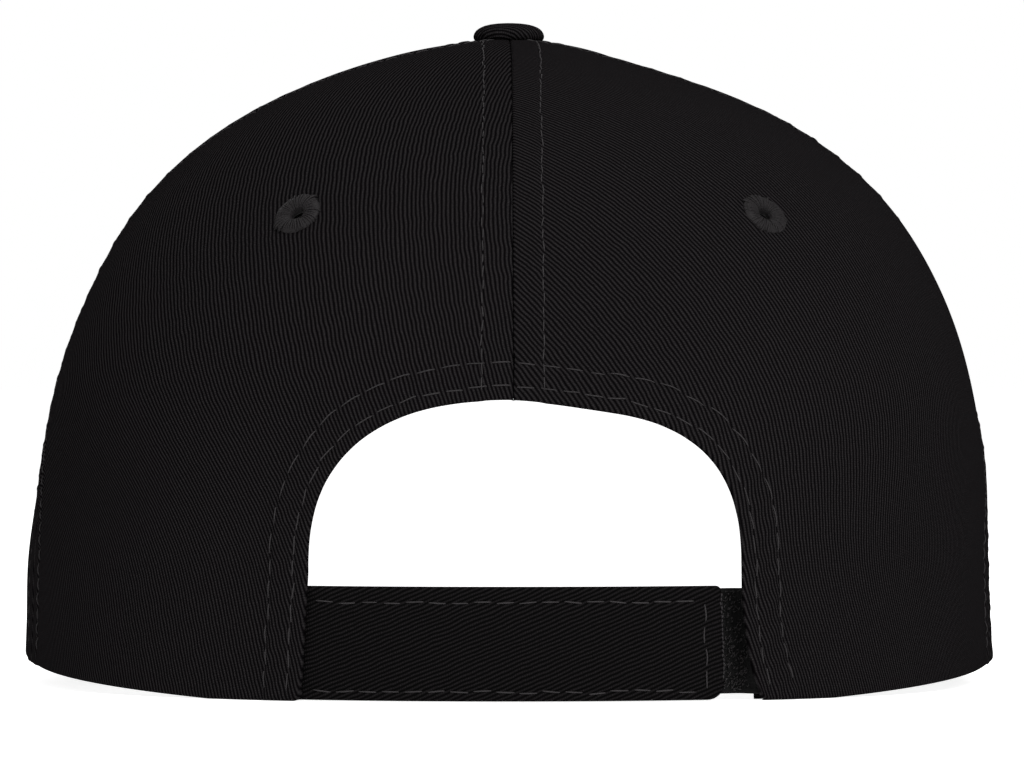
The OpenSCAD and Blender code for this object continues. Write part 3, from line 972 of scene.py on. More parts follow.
@dataclass
class BackOpening:
    """Outline of the rounded opening at the back, in the plane across the cap."""

    height: float = 51.8
    spring: float = 22.0
    left: OpeningSide = OpeningSide(37.0, 2.55, 1.3, 1.0)
    right: OpeningSide = OpeningSide(38.0, 2.95, 3.1, 2.2)
    corner_r: float = 1.8

    def __post_init__(self) -> None:
        """Sets out the outline from the wearer's left foot, over the top, to the right foot."""
        rise, spring = self.height - self.spring, self.spring
        arcs = []
        for side, sign in ((self.left, 1), (self.right, -1)):
            a = np.radians(np.linspace(0, 90, 361))
            x = sign * side.half * np.cos(a) ** (2 / side.square)
            z = spring + rise * np.sin(a) ** (2 / side.square)
            # The arch hangs a little lower on the wearer's right.
            z = z - 1.5 * smooth((4 - x) / 20) * np.clip((z - spring) / 12, 0, 1)
            arcs.append(np.stack([x, z], -1))
        legs = np.linspace(-5, spring, 60)[:-1]
        left = np.stack([self.left.foot(legs, spring), legs], -1)
        right = np.stack([-self.right.foot(legs, spring), legs], -1)
        self.top = np.concatenate([arcs[0], arcs[1][-2::-1]])
        curve = np.concatenate([left, self.top, right[::-1]])
        self.length = float(lengths_along(curve)[-1])
        self.run = np.linspace(0, self.length, 460)
        self.curve = resample(curve, self.run)
        ahead = unit(np.gradient(self.curve, axis=0))
        self.normal = np.stack([ahead[:, 1], -ahead[:, 0]], -1)

    def at(self, runs: Array) -> tuple[Array, Array]:
        """Places of the outline and its outward normals at runs round it.

        Args:
            runs: Lengths round the outline.
        Returns:
            The places and the outward normals.
        """
        return picked(self.curve, self.run, runs), unit(picked(self.normal, self.run, runs))

    def beside(self, runs: Array, offsets: Array) -> tuple[Array, Array]:
        """Sideways places and heights at runs round the outline and distances from it."""
        c, n = self.at(runs)
        return c[:, None, 0] + n[:, None, 0] * offsets, c[:, None, 1] + n[:, None, 1] * offsets

    def inside(self, x: Array, z: Array) -> Array:
        """Whether a place is within the opening.

        Args:
            x: Distance to the wearer's left.
            z: Height.
        Returns:
            True or false for each place.
        """
        left, right = self.left.foot(z, self.spring), self.right.foot(z, self.spring)
        below = (x < left) & (x > -right)
        over = np.interp(x, self.top[::-1, 0], self.top[::-1, 1], left=-9.0, right=-9.0)
        return np.where(z < self.spring, below, z < over)

    def corner(self, distance: Array, above: Array) -> Array:
        """Rise of the rim at the rounded corners of the opening's feet.

        Args:
            distance: Distance from the outline.
            above: Height above the floor.
        Returns:
            The rise at each place.
        """
        near = np.clip(self.corner_r - distance, 0, self.corner_r)
        drop = self.corner_r - np.sqrt(np.maximum(self.corner_r**2 - near**2, 0))
        return drop * np.clip(1 - above / 4, 0, 1)

    def nearest(self, x: Array, z: Array) -> tuple[Array, Array]:
        """Signed distance from the outline, negative inside, and the run of its nearest place.

        Args:
            x: Distance to the wearer's left.
            z: Height.
        Returns:
            The distances and the runs.
        """
        flat = np.stack([np.ravel(x), np.ravel(z)], -1)
        distance, run = np.empty(len(flat)), np.empty(len(flat))
        for n in range(0, len(flat), 4000):
            part = flat[n : n + 4000]
            gap = np.hypot(part[:, None, 0] - self.curve[None, :, 0],
                           part[:, None, 1] - self.curve[None, :, 1])
            at = gap.argmin(1)
            offset = np.sum((part - self.curve[at]) * self.normal[at], 1)
            distance[n : n + 4000] = np.where(gap.min(1) < 2, offset, np.sign(offset) * gap.min(1))
            ahead = np.stack([-self.normal[at, 1], self.normal[at, 0]], -1)
            run[n : n + 4000] = self.run[at] + np.sum((part - self.curve[at]) * ahead, 1)
        distance = np.where(self.inside(flat[:, 0], flat[:, 1]), -np.abs(distance), np.abs(distance))
        return distance.reshape(np.shape(x)), run.reshape(np.shape(x))


# ---------------- the crown


class Side(Enum):
    """Side of the wearer."""

    LEFT = "left"
    RIGHT = "right"


# Distance from a folded edge and lift over the face, where a panel's cloth turns in under itself.
EDGE = np.array([(-0.08, -1.05), (0.0, -0.5), (0.04, 0.0), (0.11, 0.0), (0.22, 0.0), (0.38, 0.0),
                 (0.56, 0.0)])
EDGE_AT, EDGE_LIFT = EDGE.T


@dataclass
class Panel:
    """One of the six panels of the crown, with its folded edges and stitch valleys."""

    surface: CapSurface
    k: int
    opening: BackOpening | None
    seam: SeamRelief = SeamRelief()
    hem: HemRelief = HemRelief()
    near: tuple = (0.8, 1.3, 1.9, 2.6, 3.4, 4.1, 4.6, 4.95, 5.2, 5.45, 5.8, 6.4, 7.2, 8.2)
    top: float = 0.985
    hole_r: float = 2.8
    backing_hole_r: float = 2.9
    hem_strip: float = 8.0
    hem_fold: tuple = ((7.0, -1.3), (3.0, -1.3), (0.7, -1.25), (0.25, -1.1), (0.03, -0.5))
    hem_face: tuple = (0.03, 0.1, 0.22, 0.38, 0.6, 0.9, 1.3, 1.7, 2.0, 2.3, 2.6, 3.0, 3.5, 4.0, 4.5,
                       5.0, 5.5, 5.9, 6.15, 6.4, 6.65, 7.0, 7.5, 8.0)
    hem_end: tuple = ((8.5, -0.03), (9.2, -0.12))

    def __post_init__(self) -> None:
        """Sets out panel k."""
        self.hole = np.zeros(3)
        self.ups = np.linspace(0, self.top, 90)
        across = np.linspace(0, 1, 41)
        net = self.surface.panel(self.k, across[None], self.ups[:, None], 0.0)
        self.widths = np.linalg.norm(np.diff(net, axis=1), axis=2).sum(1)
        self.runs = [lengths_along(self.surface.panel(self.k, np.full(90, a), self.ups, 0.0))
                     for a in (0, 1)]
        self.pattern = self._lay_cloth()

    def _lay_cloth(self) -> FlatPattern:
        """Cloth whose grain runs up the middle of the panel and stays parallel beside it.

        Returns:
            The flat pattern of the panel's cloth.
        """
        across, up = np.linspace(0, 1, 56), np.linspace(0, self.top, 84)
        net = self.surface.panel(self.k, across[None], up[:, None], 0.0)
        rise = unit(np.gradient(net, axis=0))
        normal = unit(np.cross(rise, np.gradient(net, axis=1)))
        level = np.cross(normal, rise)
        low, high = self.surface.seam(self.k, up), self.surface.seam(self.k + 1, up)
        angle = low[:, None] + (high - low)[:, None] * across[None]
        offset = np.radians(angle - self.surface.sizes.grain_angles[self.k])
        flatness = np.sqrt(np.maximum(1 - rise[..., 2] ** 2, 0))
        turn = (offset * flatness**0.6)[..., None]
        return FlatPattern(net, np.sin(turn) * level + np.cos(turn) * rise)

    def share(self, distance: Array, up: Array) -> Array:
        """Share of the way across at a distance from the panel's first edge."""
        width = np.interp(up, self.ups, self.widths)
        return np.minimum(distance, 0.46 * width) / width

    def relief(self, across: Array, up: Array, smooth_place: Array) -> Array:
        """Height of the cloth's face above the smooth crown.

        Args:
            across: Share across.
            up: Share up.
            smooth_place: Place on the smooth crown.
        Returns:
            The height at each place.
        """
        width = np.interp(up, self.ups, self.widths)
        fade = smooth((width - 6) / 22)
        x, z = smooth_place[..., 0], smooth_place[..., 2]
        total = 0.16 * fade * ripple(x / 13, z / 15, self.k + 0.5)
        for n, distance in enumerate((across * width, (1 - across) * width)):
            run = np.interp(up, self.ups, self.runs[n])
            total = total + fade * self.seam.height(distance, run, self.k + 7 * n)
            total = total - fold_drop(distance, self.seam.fold)
        rim = z - self.surface.rim(self.surface.seam(self.k, 0) * (1 - across)
                                   + self.surface.seam(self.k + 1, 0) * across, 0.0)
        total = total - fold_drop(rim, self.seam.fold) + 0.12 * (1 - smooth(rim / 9))
        if self.opening is not None:
            distance, run = self.opening.nearest(x, z)
            distance = np.where(smooth_place[..., 1] > 0, distance, FAR)
            total = total + self.hem.height(distance, run, 3.0) * (distance < 14)
            total = total - fold_drop(distance, self.hem.fold) * (distance < 5)
        return total

    def place(self, across: Array, up: Array, lift: Array | float = 0.0) -> tuple[Array, Array]:
        """Place and outward normal of the cloth's face.

        Args:
            across: Share of the way from the first seam to the second.
            up: Share up.
            lift: Extra height above the face.
        Returns:
            The places and the smooth crown's normals.
        """
        across, up = np.broadcast_arrays(across, up)
        step = 0.003
        here = self.surface.panel(self.k, across, up, 0.0)
        right = self.surface.panel(self.k, across + step, up, 0.0) - here
        above = self.surface.panel(self.k, across, np.minimum(up + step, 0.995), 0.0) - here
        normal = unit(np.cross(above, right))
        height = self.relief(across, up, here) + lift
        points = here + normal * height[..., None]
        if self.opening is not None:
            near = (here[..., 2] < 6) & (here[..., 1] > 0) & (np.abs(here[..., 0]) < 46)
            distance, _ = self.opening.nearest(here[near][:, 0], here[near][:, 2])
            points[near, 2] += self.opening.corner(np.maximum(distance, 0), here[near][:, 2])
        return points, normal

    def find(self, x: Array, z: Array) -> tuple[Array, Array]:
        """Shares across and up of the places at x and z on the back of the cap.

        Args:
            x: Distance to the wearer's left.
            z: Height.
        Returns:
            The shares across and up.
        """
        top = self.surface.sizes.height
        up = 1 - np.sqrt(np.clip((top - z) / top, 0, 1))
        across = np.full(np.shape(x), 0.3 if self.k == 0 else 0.7)
        step = 1e-4
        for _ in range(14):
            here = self.surface.panel(self.k, across, up, 0.0)[..., [0, 2]]
            da = (self.surface.panel(self.k, across + step, up, 0.0)[..., [0, 2]] - here) / step
            du = (self.surface.panel(self.k, across, up + step, 0.0)[..., [0, 2]] - here) / step
            error = np.stack([x, z], -1) - here
            det = da[..., 0] * du[..., 1] - da[..., 1] * du[..., 0]
            move_a = (error[..., 0] * du[..., 1] - error[..., 1] * du[..., 0]) / det
            move_u = (da[..., 0] * error[..., 1] - da[..., 1] * error[..., 0]) / det
            across = np.clip(across + np.clip(move_a, -0.15, 0.15), 0, 1)
            up = np.clip(up + np.clip(move_u, -0.15, 0.15), 0, 0.98)
        return across, up

    def grid(self) -> tuple[Array, Array, Array]:
        """Shares across and up, and the lift, of the vertices of the panel's face.

        Returns:
            The shares across, the shares up and the lifts.
        """
        edge = np.concatenate([EDGE_AT, self.near])
        edge_lift = np.concatenate([EDGE_LIFT, np.zeros(len(self.near))])
        tall = 115.0
        low = np.maximum(np.concatenate([EDGE_AT, (0.85, 1.3, 2.0)]), 0.0)
        low = 1 - np.sqrt(1 - low / tall)
        ups = np.concatenate([low, np.linspace(low[-1], 0.978, 150)[1:]])
        up_lift = np.concatenate([EDGE_LIFT, np.zeros(len(ups) - len(EDGE))])
        width = np.interp(ups, self.ups, self.widths)
        squeeze = np.minimum(1, 0.42 * width / edge[-1])
        first = edge[None] * squeeze[:, None] / width[:, None]
        middle = first[:, -1:] + (1 - 2 * first[:, -1:]) * np.linspace(0, 1, 96)[None, 1:-1]
        across = np.concatenate([first, middle, 1 - first[:, ::-1]], 1)
        lift = np.concatenate([edge_lift, np.zeros(94), edge_lift[::-1]])[None] + up_lift[:, None]
        return across, np.repeat(ups[:, None], across.shape[1], 1), lift

    def _clear(self, here: Array) -> Array:
        """Distance of places from the back opening, which lies on the back half only."""
        distance, _ = self.opening.nearest(here[..., 0], here[..., 2])
        return np.where(here[..., 1] > 0, distance, FAR)

    def build_face(self, shape: Shape) -> None:
        """Adds the panel's face, cut out under its eyelet and back round the opening.

        Args:
            shape: The shape that takes the part.
        """
        across, up, lift = self.grid()
        here = self.surface.panel(self.k, across, up, 0.0)
        level = np.linalg.norm(here - self.hole, axis=-1) - self.hole_r
        if self.opening is not None:
            level = np.minimum(level, self._clear(here) - self.hem_strip)
        self._add_cut(shape, across, up, lift, level)
        if self.opening is not None:
            self._add_hem(shape)

    def _add_cut(self, shape: Shape, across: Array, up: Array, lift: Array, level: Array) -> None:
        """Adds the part of the face where level is positive, cut exactly along level zero.

        Args:
            shape: The shape that takes the part.
            across: Share across of each vertex.
            up: Share up of each vertex.
            lift: Lift of each vertex over the face.
            level: Value of each vertex; the cut runs where it is zero.
        """
        quads = grid_faces(*across.shape, flip=True)
        values, a, u, l = level.ravel(), across.ravel(), up.ravel(), lift.ravel()
        kept = [list(q) for q in quads[(values[quads] > 0).all(1)]]
        extra: dict = {}
        new: list = []
        for q in quads[(values[quads] > 0).any(1) & (values[quads] <= 0).any(1)]:
            ring = []
            for m, n in zip(q, np.roll(q, -1)):
                if values[m] > 0:
                    ring.append(m)
                if (values[m] > 0) != (values[n] > 0):
                    key = (min(m, n), max(m, n))
                    if key not in extra:
                        t = values[m] / (values[m] - values[n])
                        extra[key] = len(values) + len(new)
                        new.append([a[m] + t * (a[n] - a[m]), u[m] + t * (u[n] - u[m]),
                                    l[m] + t * (l[n] - l[m])])
                    ring.append(extra[key])
            kept.append(ring)
        a, u, l = np.concatenate([np.stack([a, u, l], 1), np.array(new)]).T
        used = np.unique(np.concatenate([np.array(f) for f in kept]))
        number = np.zeros(len(a), int)
        number[used] = np.arange(len(used))
        points, _ = self.place(a[used], u[used], l[used])
        shape.add(points, [number[f] for f in kept], self.pattern.at(a[used], u[used]))

    def hem_net(self, offsets: Array, runs: Array) -> tuple[Array, Array]:
        """Shares across and up at distances from the opening and runs round it.

        Args:
            offsets: Distances from the opening.
            runs: Lengths round the opening.
        Returns:
            The shares across and up, as run x distance.
        """
        curve, _ = self.opening.at(runs)
        x, z = self.opening.beside(runs, offsets)
        drift = self.seam_x(z) - self.seam_x(curve[:, 1])[:, None]
        fade = np.clip(1 - np.abs(curve[:, 0] - self.seam_x(curve[:, 1])) / 10, 0, 1)[:, None]
        return self.find(x + drift * fade, z)

    def seam_x(self, z: Array) -> Array:
        """Sideways place of the centre back seam at a height."""
        up = 1 - np.sqrt(np.clip((118.58 - z) / 118.58, 0, 1))
        return self.surface.panel(self.k, 0.0 if self.k == 0 else 1.0, up, 0.0)[..., 0]

    def hem_span(self, lowest: float) -> tuple[float, float]:
        """Runs round the opening between which this panel's hem lies, from a lowest height.

        Args:
            lowest: Height below which the hem is left out.
        Returns:
            The first and the last run.
        """
        curve, run = self.opening.curve, self.opening.run
        gap = np.abs(curve[:, 0] - self.seam_x(curve[:, 1])) + FAR * (curve[:, 1] < 40)
        seam = float(run[gap.argmin()])
        above = run[curve[:, 1] > lowest]
        return (float(above[0]), seam) if self.k == 0 else (seam, float(above[-1]))

    def _add_hem(self, shape: Shape) -> None:
        """Adds the fine strip of cloth round the opening, turned in over its edge.

        Args:
            shape: The shape that takes the part.
        """
        columns = self.hem_fold + tuple((offset, 0.0) for offset in self.hem_face) + self.hem_end
        offsets, lifts = np.array(columns).T
        low, high = self.hem_span(-3.5)
        middle = np.linspace(low + 0.9, high - 0.9, int((high - low) / 0.45))
        runs = np.concatenate([low + EDGE_AT, middle, high - EDGE_AT[::-1]])
        run_lift = np.concatenate([EDGE_LIFT, np.zeros(len(middle)), EDGE_LIFT[::-1]])
        across, up = self.hem_net(offsets, runs)
        points, _ = self.place(across, up, lifts[None] + run_lift[:, None])
        shape.add_grid(points, self.pattern.at(across, up), flip=True)

    def build_back(self, shape: Shape) -> None:
        """Adds the fused backing behind the panel.

        Args:
            shape: The shape that takes the part.
        """
        across, up = np.linspace(0.01, 0.99, 34)[None], np.linspace(0.004, 0.97, 44)[:, None]
        across, up = np.broadcast_arrays(across, up)
        here = self.surface.panel(self.k, across, up, self.surface.sizes.panel_t - 0.1)
        cloth = self.pattern.at(across, up)
        faces = grid_faces(*across.shape)
        middles = here.reshape(-1, 3)[faces].mean(1)
        faces = faces[np.linalg.norm(middles - self.hole, axis=1) > self.backing_hole_r]
        if self.opening is not None:
            faces = faces[(self._clear(here).ravel()[faces] > 2.5).all(1)]
        shape.add(here, faces, cloth)


@dataclass
class Crown:
    """The six panels, their topstitching, eyelets and covered button."""

    surface: CapSurface
    finishes: Finishes
    names: tuple = ("back_panel_left", "side_panel_left", "front_panel_left",
                    "front_panel_right", "side_panel_right", "back_panel_right")
    eyelet_z: float = 84.5
    back_eyelet: float = 33.5
    eyelet_skew: float = -2.0
    eyelet_r: float = 4.3
    eyelet_threads: int = 46
    satin: tuple = ((1.2, -1.1), (1.24, -0.45), (1.42, 0.02), (1.75, 0.3), (2.2, 0.47),
                    (2.8, 0.54), (3.4, 0.48), (3.9, 0.3), (4.3, -0.2))
    eyelet_bed: tuple = ((4.35, -0.5), (4.2, 0.1), (3.4, 0.42), (2.4, 0.45), (1.7, 0.2),
                         (1.35, -0.4), (1.3, -1.2), (1.7, -1.7), (3.4, -1.75), (4.3, -1.4))
    button: tuple = ((0.02, 2.9), (1.2, 2.88), (2.4, 2.8), (3.6, 2.64), (4.6, 2.38), (5.4, 2.02),
                     (6.0, 1.55), (6.35, 1.0), (6.5, 0.45), (6.4, -0.1), (5.9, -0.5), (5.0, -0.7))
    hem_stitch: StitchSizes = StitchSizes(3.9, 0.94, 0.12, 0.4, 0.14)

    def __post_init__(self) -> None:
        """Lays out the panels."""
        self.opening = BackOpening()
        self.rng = np.random.default_rng(11)
        self.panels = [Panel(self.surface, k, self.opening if k in (0, 5) else None) for k in range(6)]
        for k, panel in enumerate(self.panels):
            panel.hole = self.eyelet_frame(k)[0]

    def build(self) -> None:
        """Builds every piece that is sewn to the crown's outside."""
        for panel, name in zip(self.panels, self.names):
            face = Shape()
            panel.build_face(face)
            made = dressed(face, f"{name}_cloth", self.finishes.twill, "crown_twill", name)
            back = Shape()
            panel.build_back(back)
            lining = dressed(back, f"{name}_backing", self.finishes.backing, "crown_twill")
            rows = self._topstitch(panel, name)
        self._eyelets()
        self._button()

    @staticmethod
    def _area(panel: Panel) -> float:
        """Flat area of a panel's cloth, less the back opening.

        Args:
            panel: The panel.
        Returns:
            The area in square millimetres.
        """
        cut = 37 * 50 * 0.95 if panel.opening is not None else 0.0
        run = (panel.runs[0] + panel.runs[1]) / 2
        return float(np.sum(np.diff(run) * (panel.widths[1:] + panel.widths[:-1]) / 2)) - cut

    def _topstitch(self, panel: Panel, name: str) -> Piece:
        """Rows of stitches beside the panel's seams, and round its share of the opening.

        Args:
            panel: The panel.
            name: Name of the panel.
        Returns:
            The piece that holds every stitch.
        """
        shape = Shape()
        ups = np.linspace(0.004, 0.968, 900)
        for side in (0, 1):
            share = panel.share(np.full(900, panel.seam.width), ups)
            across = share if side == 0 else 1 - share
            points, normal = panel.place(across, ups)
            keep = np.ones(900, bool)
            if panel.opening is not None:
                distance, _ = panel.opening.nearest(points[:, 0], points[:, 2])
                keep = (distance > 1.2) | (points[:, 1] < 0)
            first = int(keep.argmax())
            run = np.interp(ups, panel.ups, panel.runs[side])
            sew(shape, points[first:], normal[first:], run[first:],
                StitchSizes(pitch=panel.seam.pitch), self.rng)
        if panel.opening is not None:
            low, high = panel.hem_span(0.6)
            runs = np.linspace(low + 0.05, high - 0.05, 500)
            for offset in (panel.hem.inner, panel.hem.outer):
                across, up = panel.hem_net(np.array([offset]), runs)
                points, normal = panel.place(across[:, 0], up[:, 0])
                count = runs - (high - 0.05 if panel.k == 0 else low + 0.05)
                sew(shape, points, normal, count, self.hem_stitch, self.rng)
        return dressed(shape, f"{name}_topstitching", self.finishes.thread, "eyelet_thread")

    def eyelet_frame(self, k: int) -> tuple[Array, Array, Array, Array]:
        """Centre, two level directions and outward normal of the eyelet of panel k.

        Args:
            k: Number of the panel.
        Returns:
            The centre, the two directions and the normal.
        """
        surface, z = self.surface, self.eyelet_z
        middle = (surface.sizes.seams[k] + surface.sizes.seams[k + 1]) / 2
        rim = float(surface.rim(np.array(middle), 0.0))
        up = 1 - math.sqrt((surface.sizes.height - z) / (surface.sizes.height - rim))
        angle = float(surface.seam(k, up) + surface.seam(k + 1, up)) / 2
        if k in (0, 5):
            angle = (self.back_eyelet if k == 0 else 360 - self.back_eyelet) + self.eyelet_skew
        here = surface.point(angle, z, 0.0)
        side = unit(surface.point(angle + 1, z, 0.0) - surface.point(angle - 1, z, 0.0))
        rise = surface.point(angle, z + 1, 0.0) - surface.point(angle, z - 1, 0.0)
        normal = unit(np.cross(rise, side))
        return here, side, np.cross(side, normal) * -1, normal

    def _eyelets(self) -> None:
        """Embroidered air holes: satin threads laid side by side from the hole outward."""
        count = self.eyelet_threads
        for k, panel_name in enumerate(self.names):
            name = "eyelet_" + panel_name.replace("_panel", "")
            here, side, rise, normal = self.eyelet_frame(k)
            turn = (np.arange(count) + self.rng.uniform(-0.3, 0.3, count)) * TAU / count
            outer = self.eyelet_r + self.rng.normal(0, 0.22, count) + 0.2 * np.sin(3 * turn + k)
            t = np.linspace(0, 1, len(self.satin))
            reach, height = np.array(self.satin).T
            reach = reach + (outer[:, None] - reach[-1]) * smooth((reach - 2.0) / 2.3)
            height = height[None] + self.rng.normal(0, 0.05, (count, 1))
            bend = turn[:, None] + 0.05 * np.sin(t * np.pi)[None]
            flat = side * np.cos(bend)[..., None] + rise * np.sin(bend)[..., None]
            curve = -0.012 * (reach * np.cos(bend)) ** 2
            path = here + flat * reach[..., None] + normal * (height + curve)[..., None]
            shape = Shape()
            thick = 0.06 + 0.15 * np.clip(reach / self.eyelet_r, 0, 1)
            add_tubes(shape, path, np.broadcast_to(normal, path.shape), thick, 6)
            self._eyelet_bed(shape, here, side, rise, normal)
            dressed(shape, f"{name}_satin", self.finishes.eyelet, "eyelet_thread", name)

    def _eyelet_bed(self, shape: Shape, here: Array, side: Array, rise: Array, normal: Array) -> None:
        """Adds the padded ring of thread under the satin, down through the hole.

        Args:
            shape: The shape that takes the part.
            here: Centre of the eyelet.
            side: Level direction along the face.
            rise: Direction up the face.
            normal: Outward normal.
        """
        profile = np.array(self.eyelet_bed)
        turn = np.arange(48) * TAU / 48
        flat = side * np.cos(turn)[:, None] + rise * np.sin(turn)[:, None]
        net = here + flat[None] * profile[:, None, None, 0] + normal * profile[:, None, None, 1]
        shape.add_grid(net, ring=True, flip=True)

    def _button(self) -> None:
        """Button covered in the crown's twill, drawn in under its edge."""
        turn = np.arange(96) * TAU / 96
        profile = np.array(self.button)
        cut = resample(profile, np.linspace(0, lengths_along(profile)[-1], 40))
        low = smooth((cut[:, 0] - 4.2) / 2.2)[:, None]
        gather = 0.09 * low * np.sin(17 * turn + 0.8 * np.sin(3 * turn))
        gather = gather + 0.05 * low * np.sin(31 * turn)
        r = cut[:, :1] + gather
        seat = self.surface.sizes.height - 0.2
        points = round_axis(r, turn, seat + cut[:, 1:] + 0.04 * np.sin(2 * turn) * low)
        along = lengths_along(cut)[:, None]
        cloth = np.stack([along * np.cos(turn), along * np.sin(turn)], -1)
        shape = Shape()
        shape.add_grid(points, cloth, ring=True)
        dressed(shape, "button_cloth", self.finishes.twill, "crown_twill", "button_cover",
                "button_shell")


# ---------------- the closure


@dataclass(frozen=True)
class BandSizes:
    """A flat band across the back opening, in millimetres; x falls from start to end."""

    start: float
    end: float
    low: float
    high: float
    depth: float
    thick: float
    corners: tuple = (3.0, 1.0)
    tuck: float = 0.0
    tuck_at: float = 0.0

    def layer(self, along: Array) -> Array:
        """Depth of the outer face at a length along the band, less where its root tucks in."""
        return self.depth - self.tuck * (1 - smooth((along - self.tuck_at) / 4.2))


@dataclass
class Band:
    """A band of folded cloth that follows the crown, with rounded long edges and end."""

    surface: CapSurface
    sizes: BandSizes
    # Heights of its long stitch rows, and distance of the short one from the free end.
    rows: tuple
    end_row: float | None
    pitch: float = 3.9

    def relief(self, along: Array, z: Array) -> Array:
        """Height of the band's outer face, with the dips of its stitches.

        Args:
            along: Length along the band.
            z: Height.
        Returns:
            The height over the plain face.
        """
        s = self.sizes
        total = 0.07 * ripple(along / 9, z / 6, 2.0) + 0.03 * ripple(along / 2.5, z / 2, 6.0)
        wave = TAU * along / self.pitch
        for height in self.rows:
            total = total - 0.26 * np.exp(-(((z - height) / 0.5) ** 2)) * (0.7 + 0.3 * np.cos(wave))
            total = total + 0.07 * np.exp(-(((z - height) / 1.6) ** 2)) * np.sin(
                wave * 0.9 + 2 * ripple(along / 7, z / 3, 4.0))
        if self.end_row is not None:
            back = self.length - self.end_row
            row = np.exp(-(((along - back) / 0.55) ** 2))
            total = total - 0.3 * row * (0.65 + 0.35 * np.cos(TAU * z / self.pitch))
            pull = 0.1 * np.exp(-(((along - back) / 1.5) ** 2))
            total = total + pull * np.sin(TAU * z / self.pitch * 1.1)
        return total

    @property
    def length(self) -> float:
        """Length of the band."""
        return abs(self.sizes.start - self.sizes.end)

    def place(self, along: Array, z: Array, depth: Array) -> Array:
        """Place at a length along the band, a height and a depth.

        Args:
            along: Length along the band.
            z: Height.
            depth: Depth below the face.
        Returns:
            The places.
        """
        s = self.sizes
        x = s.start + np.sign(s.end - s.start) * along
        return self.surface.point(self.surface.angle_at(x, BAND_LEVEL, depth), z, depth)

    def add_body(self, shape: Shape) -> None:
        """Adds the band's outer face, folded edges and inner face as one closed skin.

        Args:
            shape: The shape that takes the part.
        """
        s = self.sizes
        near = np.array([0.02, 0.1, 0.25, 0.45, 0.7, 1.0, 1.4, 1.9, 2.5])
        along = np.concatenate([np.arange(0, self.length - 2.6, 0.4), self.length - near[::-1]])
        gap = self.length - along
        squeeze = np.sqrt(np.clip(1 - np.clip(1 - gap / 0.75, 0, 1) ** 2, 0.03, 1))
        half_h, half_t = (s.high - s.low) / 2, s.thick / 2
        run = np.linspace(-1, 1, 56)
        turn = np.linspace(0, np.pi, 9)[1:-1]
        flat = half_h - half_t
        w = np.concatenate([run * flat, flat + half_t * np.sin(turn), -run * flat,
                            -flat - half_t * np.sin(turn)])
        d = np.concatenate([np.full(56, 1.0), np.cos(turn), np.full(56, -1.0), -np.cos(turn)])
        cut = [r - np.sqrt(np.maximum(r**2 - np.clip(r - gap, 0, None) ** 2, 0)) for r in s.corners]
        shrink = 1 - np.where(w[None] < 0, cut[0][:, None], cut[1][:, None]) / half_h
        z = (s.low + s.high) / 2 + w[None] * shrink
        outer = np.clip(d, 0, 1)[None] * self.relief(along[:, None] + 0 * z, z)
        depth = s.layer(along)[:, None] + half_t - d[None] * half_t * squeeze[:, None] - outer
        points = self.place(along[:, None] + 0 * z, z, depth)
        cloth = np.stack([along[:, None] + 0 * z, z], -1)
        shape.add_grid(points, cloth, ring=True, ends=True)

    def sew_rows(self, shape: Shape, from_x: float, rng: np.random.Generator) -> None:
        """Adds the band's rows of stitches, the long rows starting at from_x.

        Args:
            shape: The shape that takes the part.
            from_x: Sideways place at which the long rows start.
            rng: Source of the small unevenness.
        """
        s, sizes = self.sizes, StitchSizes(self.pitch, 0.94, 0.13, 0.4, 0.12)
        ends = StitchSizes(0.74, 0.7, 0.12, 0.1, 0.05)
        along = np.linspace(abs(s.start - from_x), self.length - (self.end_row or 1.5), 300)
        for height in self.rows:
            z = height + 0.12 * ripple(along / 8, along / 9, height)
            path = self.place(along, z, s.depth - self.relief(along, z))
            sew(shape, path, unit(path * [1, 1, 0]), along, sizes, rng)
        if self.end_row is not None:
            low, high = min(self.rows), max(self.rows)
            z = np.linspace(low, high, 120)
            at = np.full(120, self.length - self.end_row) + 0.16 * np.sin(z)
            path = self.place(at, z, s.depth - self.relief(at, z))
            fit = StitchSizes((high - low) / 4, 0.94, sizes.radius, 0.5, 0.1)
            sew(shape, path, unit(path * [1, 1, 0]), (z - low) * 1.0001, fit, rng)
            # Thread ends stand along the cut end of the cloth.
            z = np.linspace(s.low + 3, s.high - 1, 300)
            path = self.place(np.full(300, self.length - 0.12), z, np.full(300, s.depth + 0.25))
            sew(shape, path, unit(path * [1, 1, 0]), z, ends, rng)


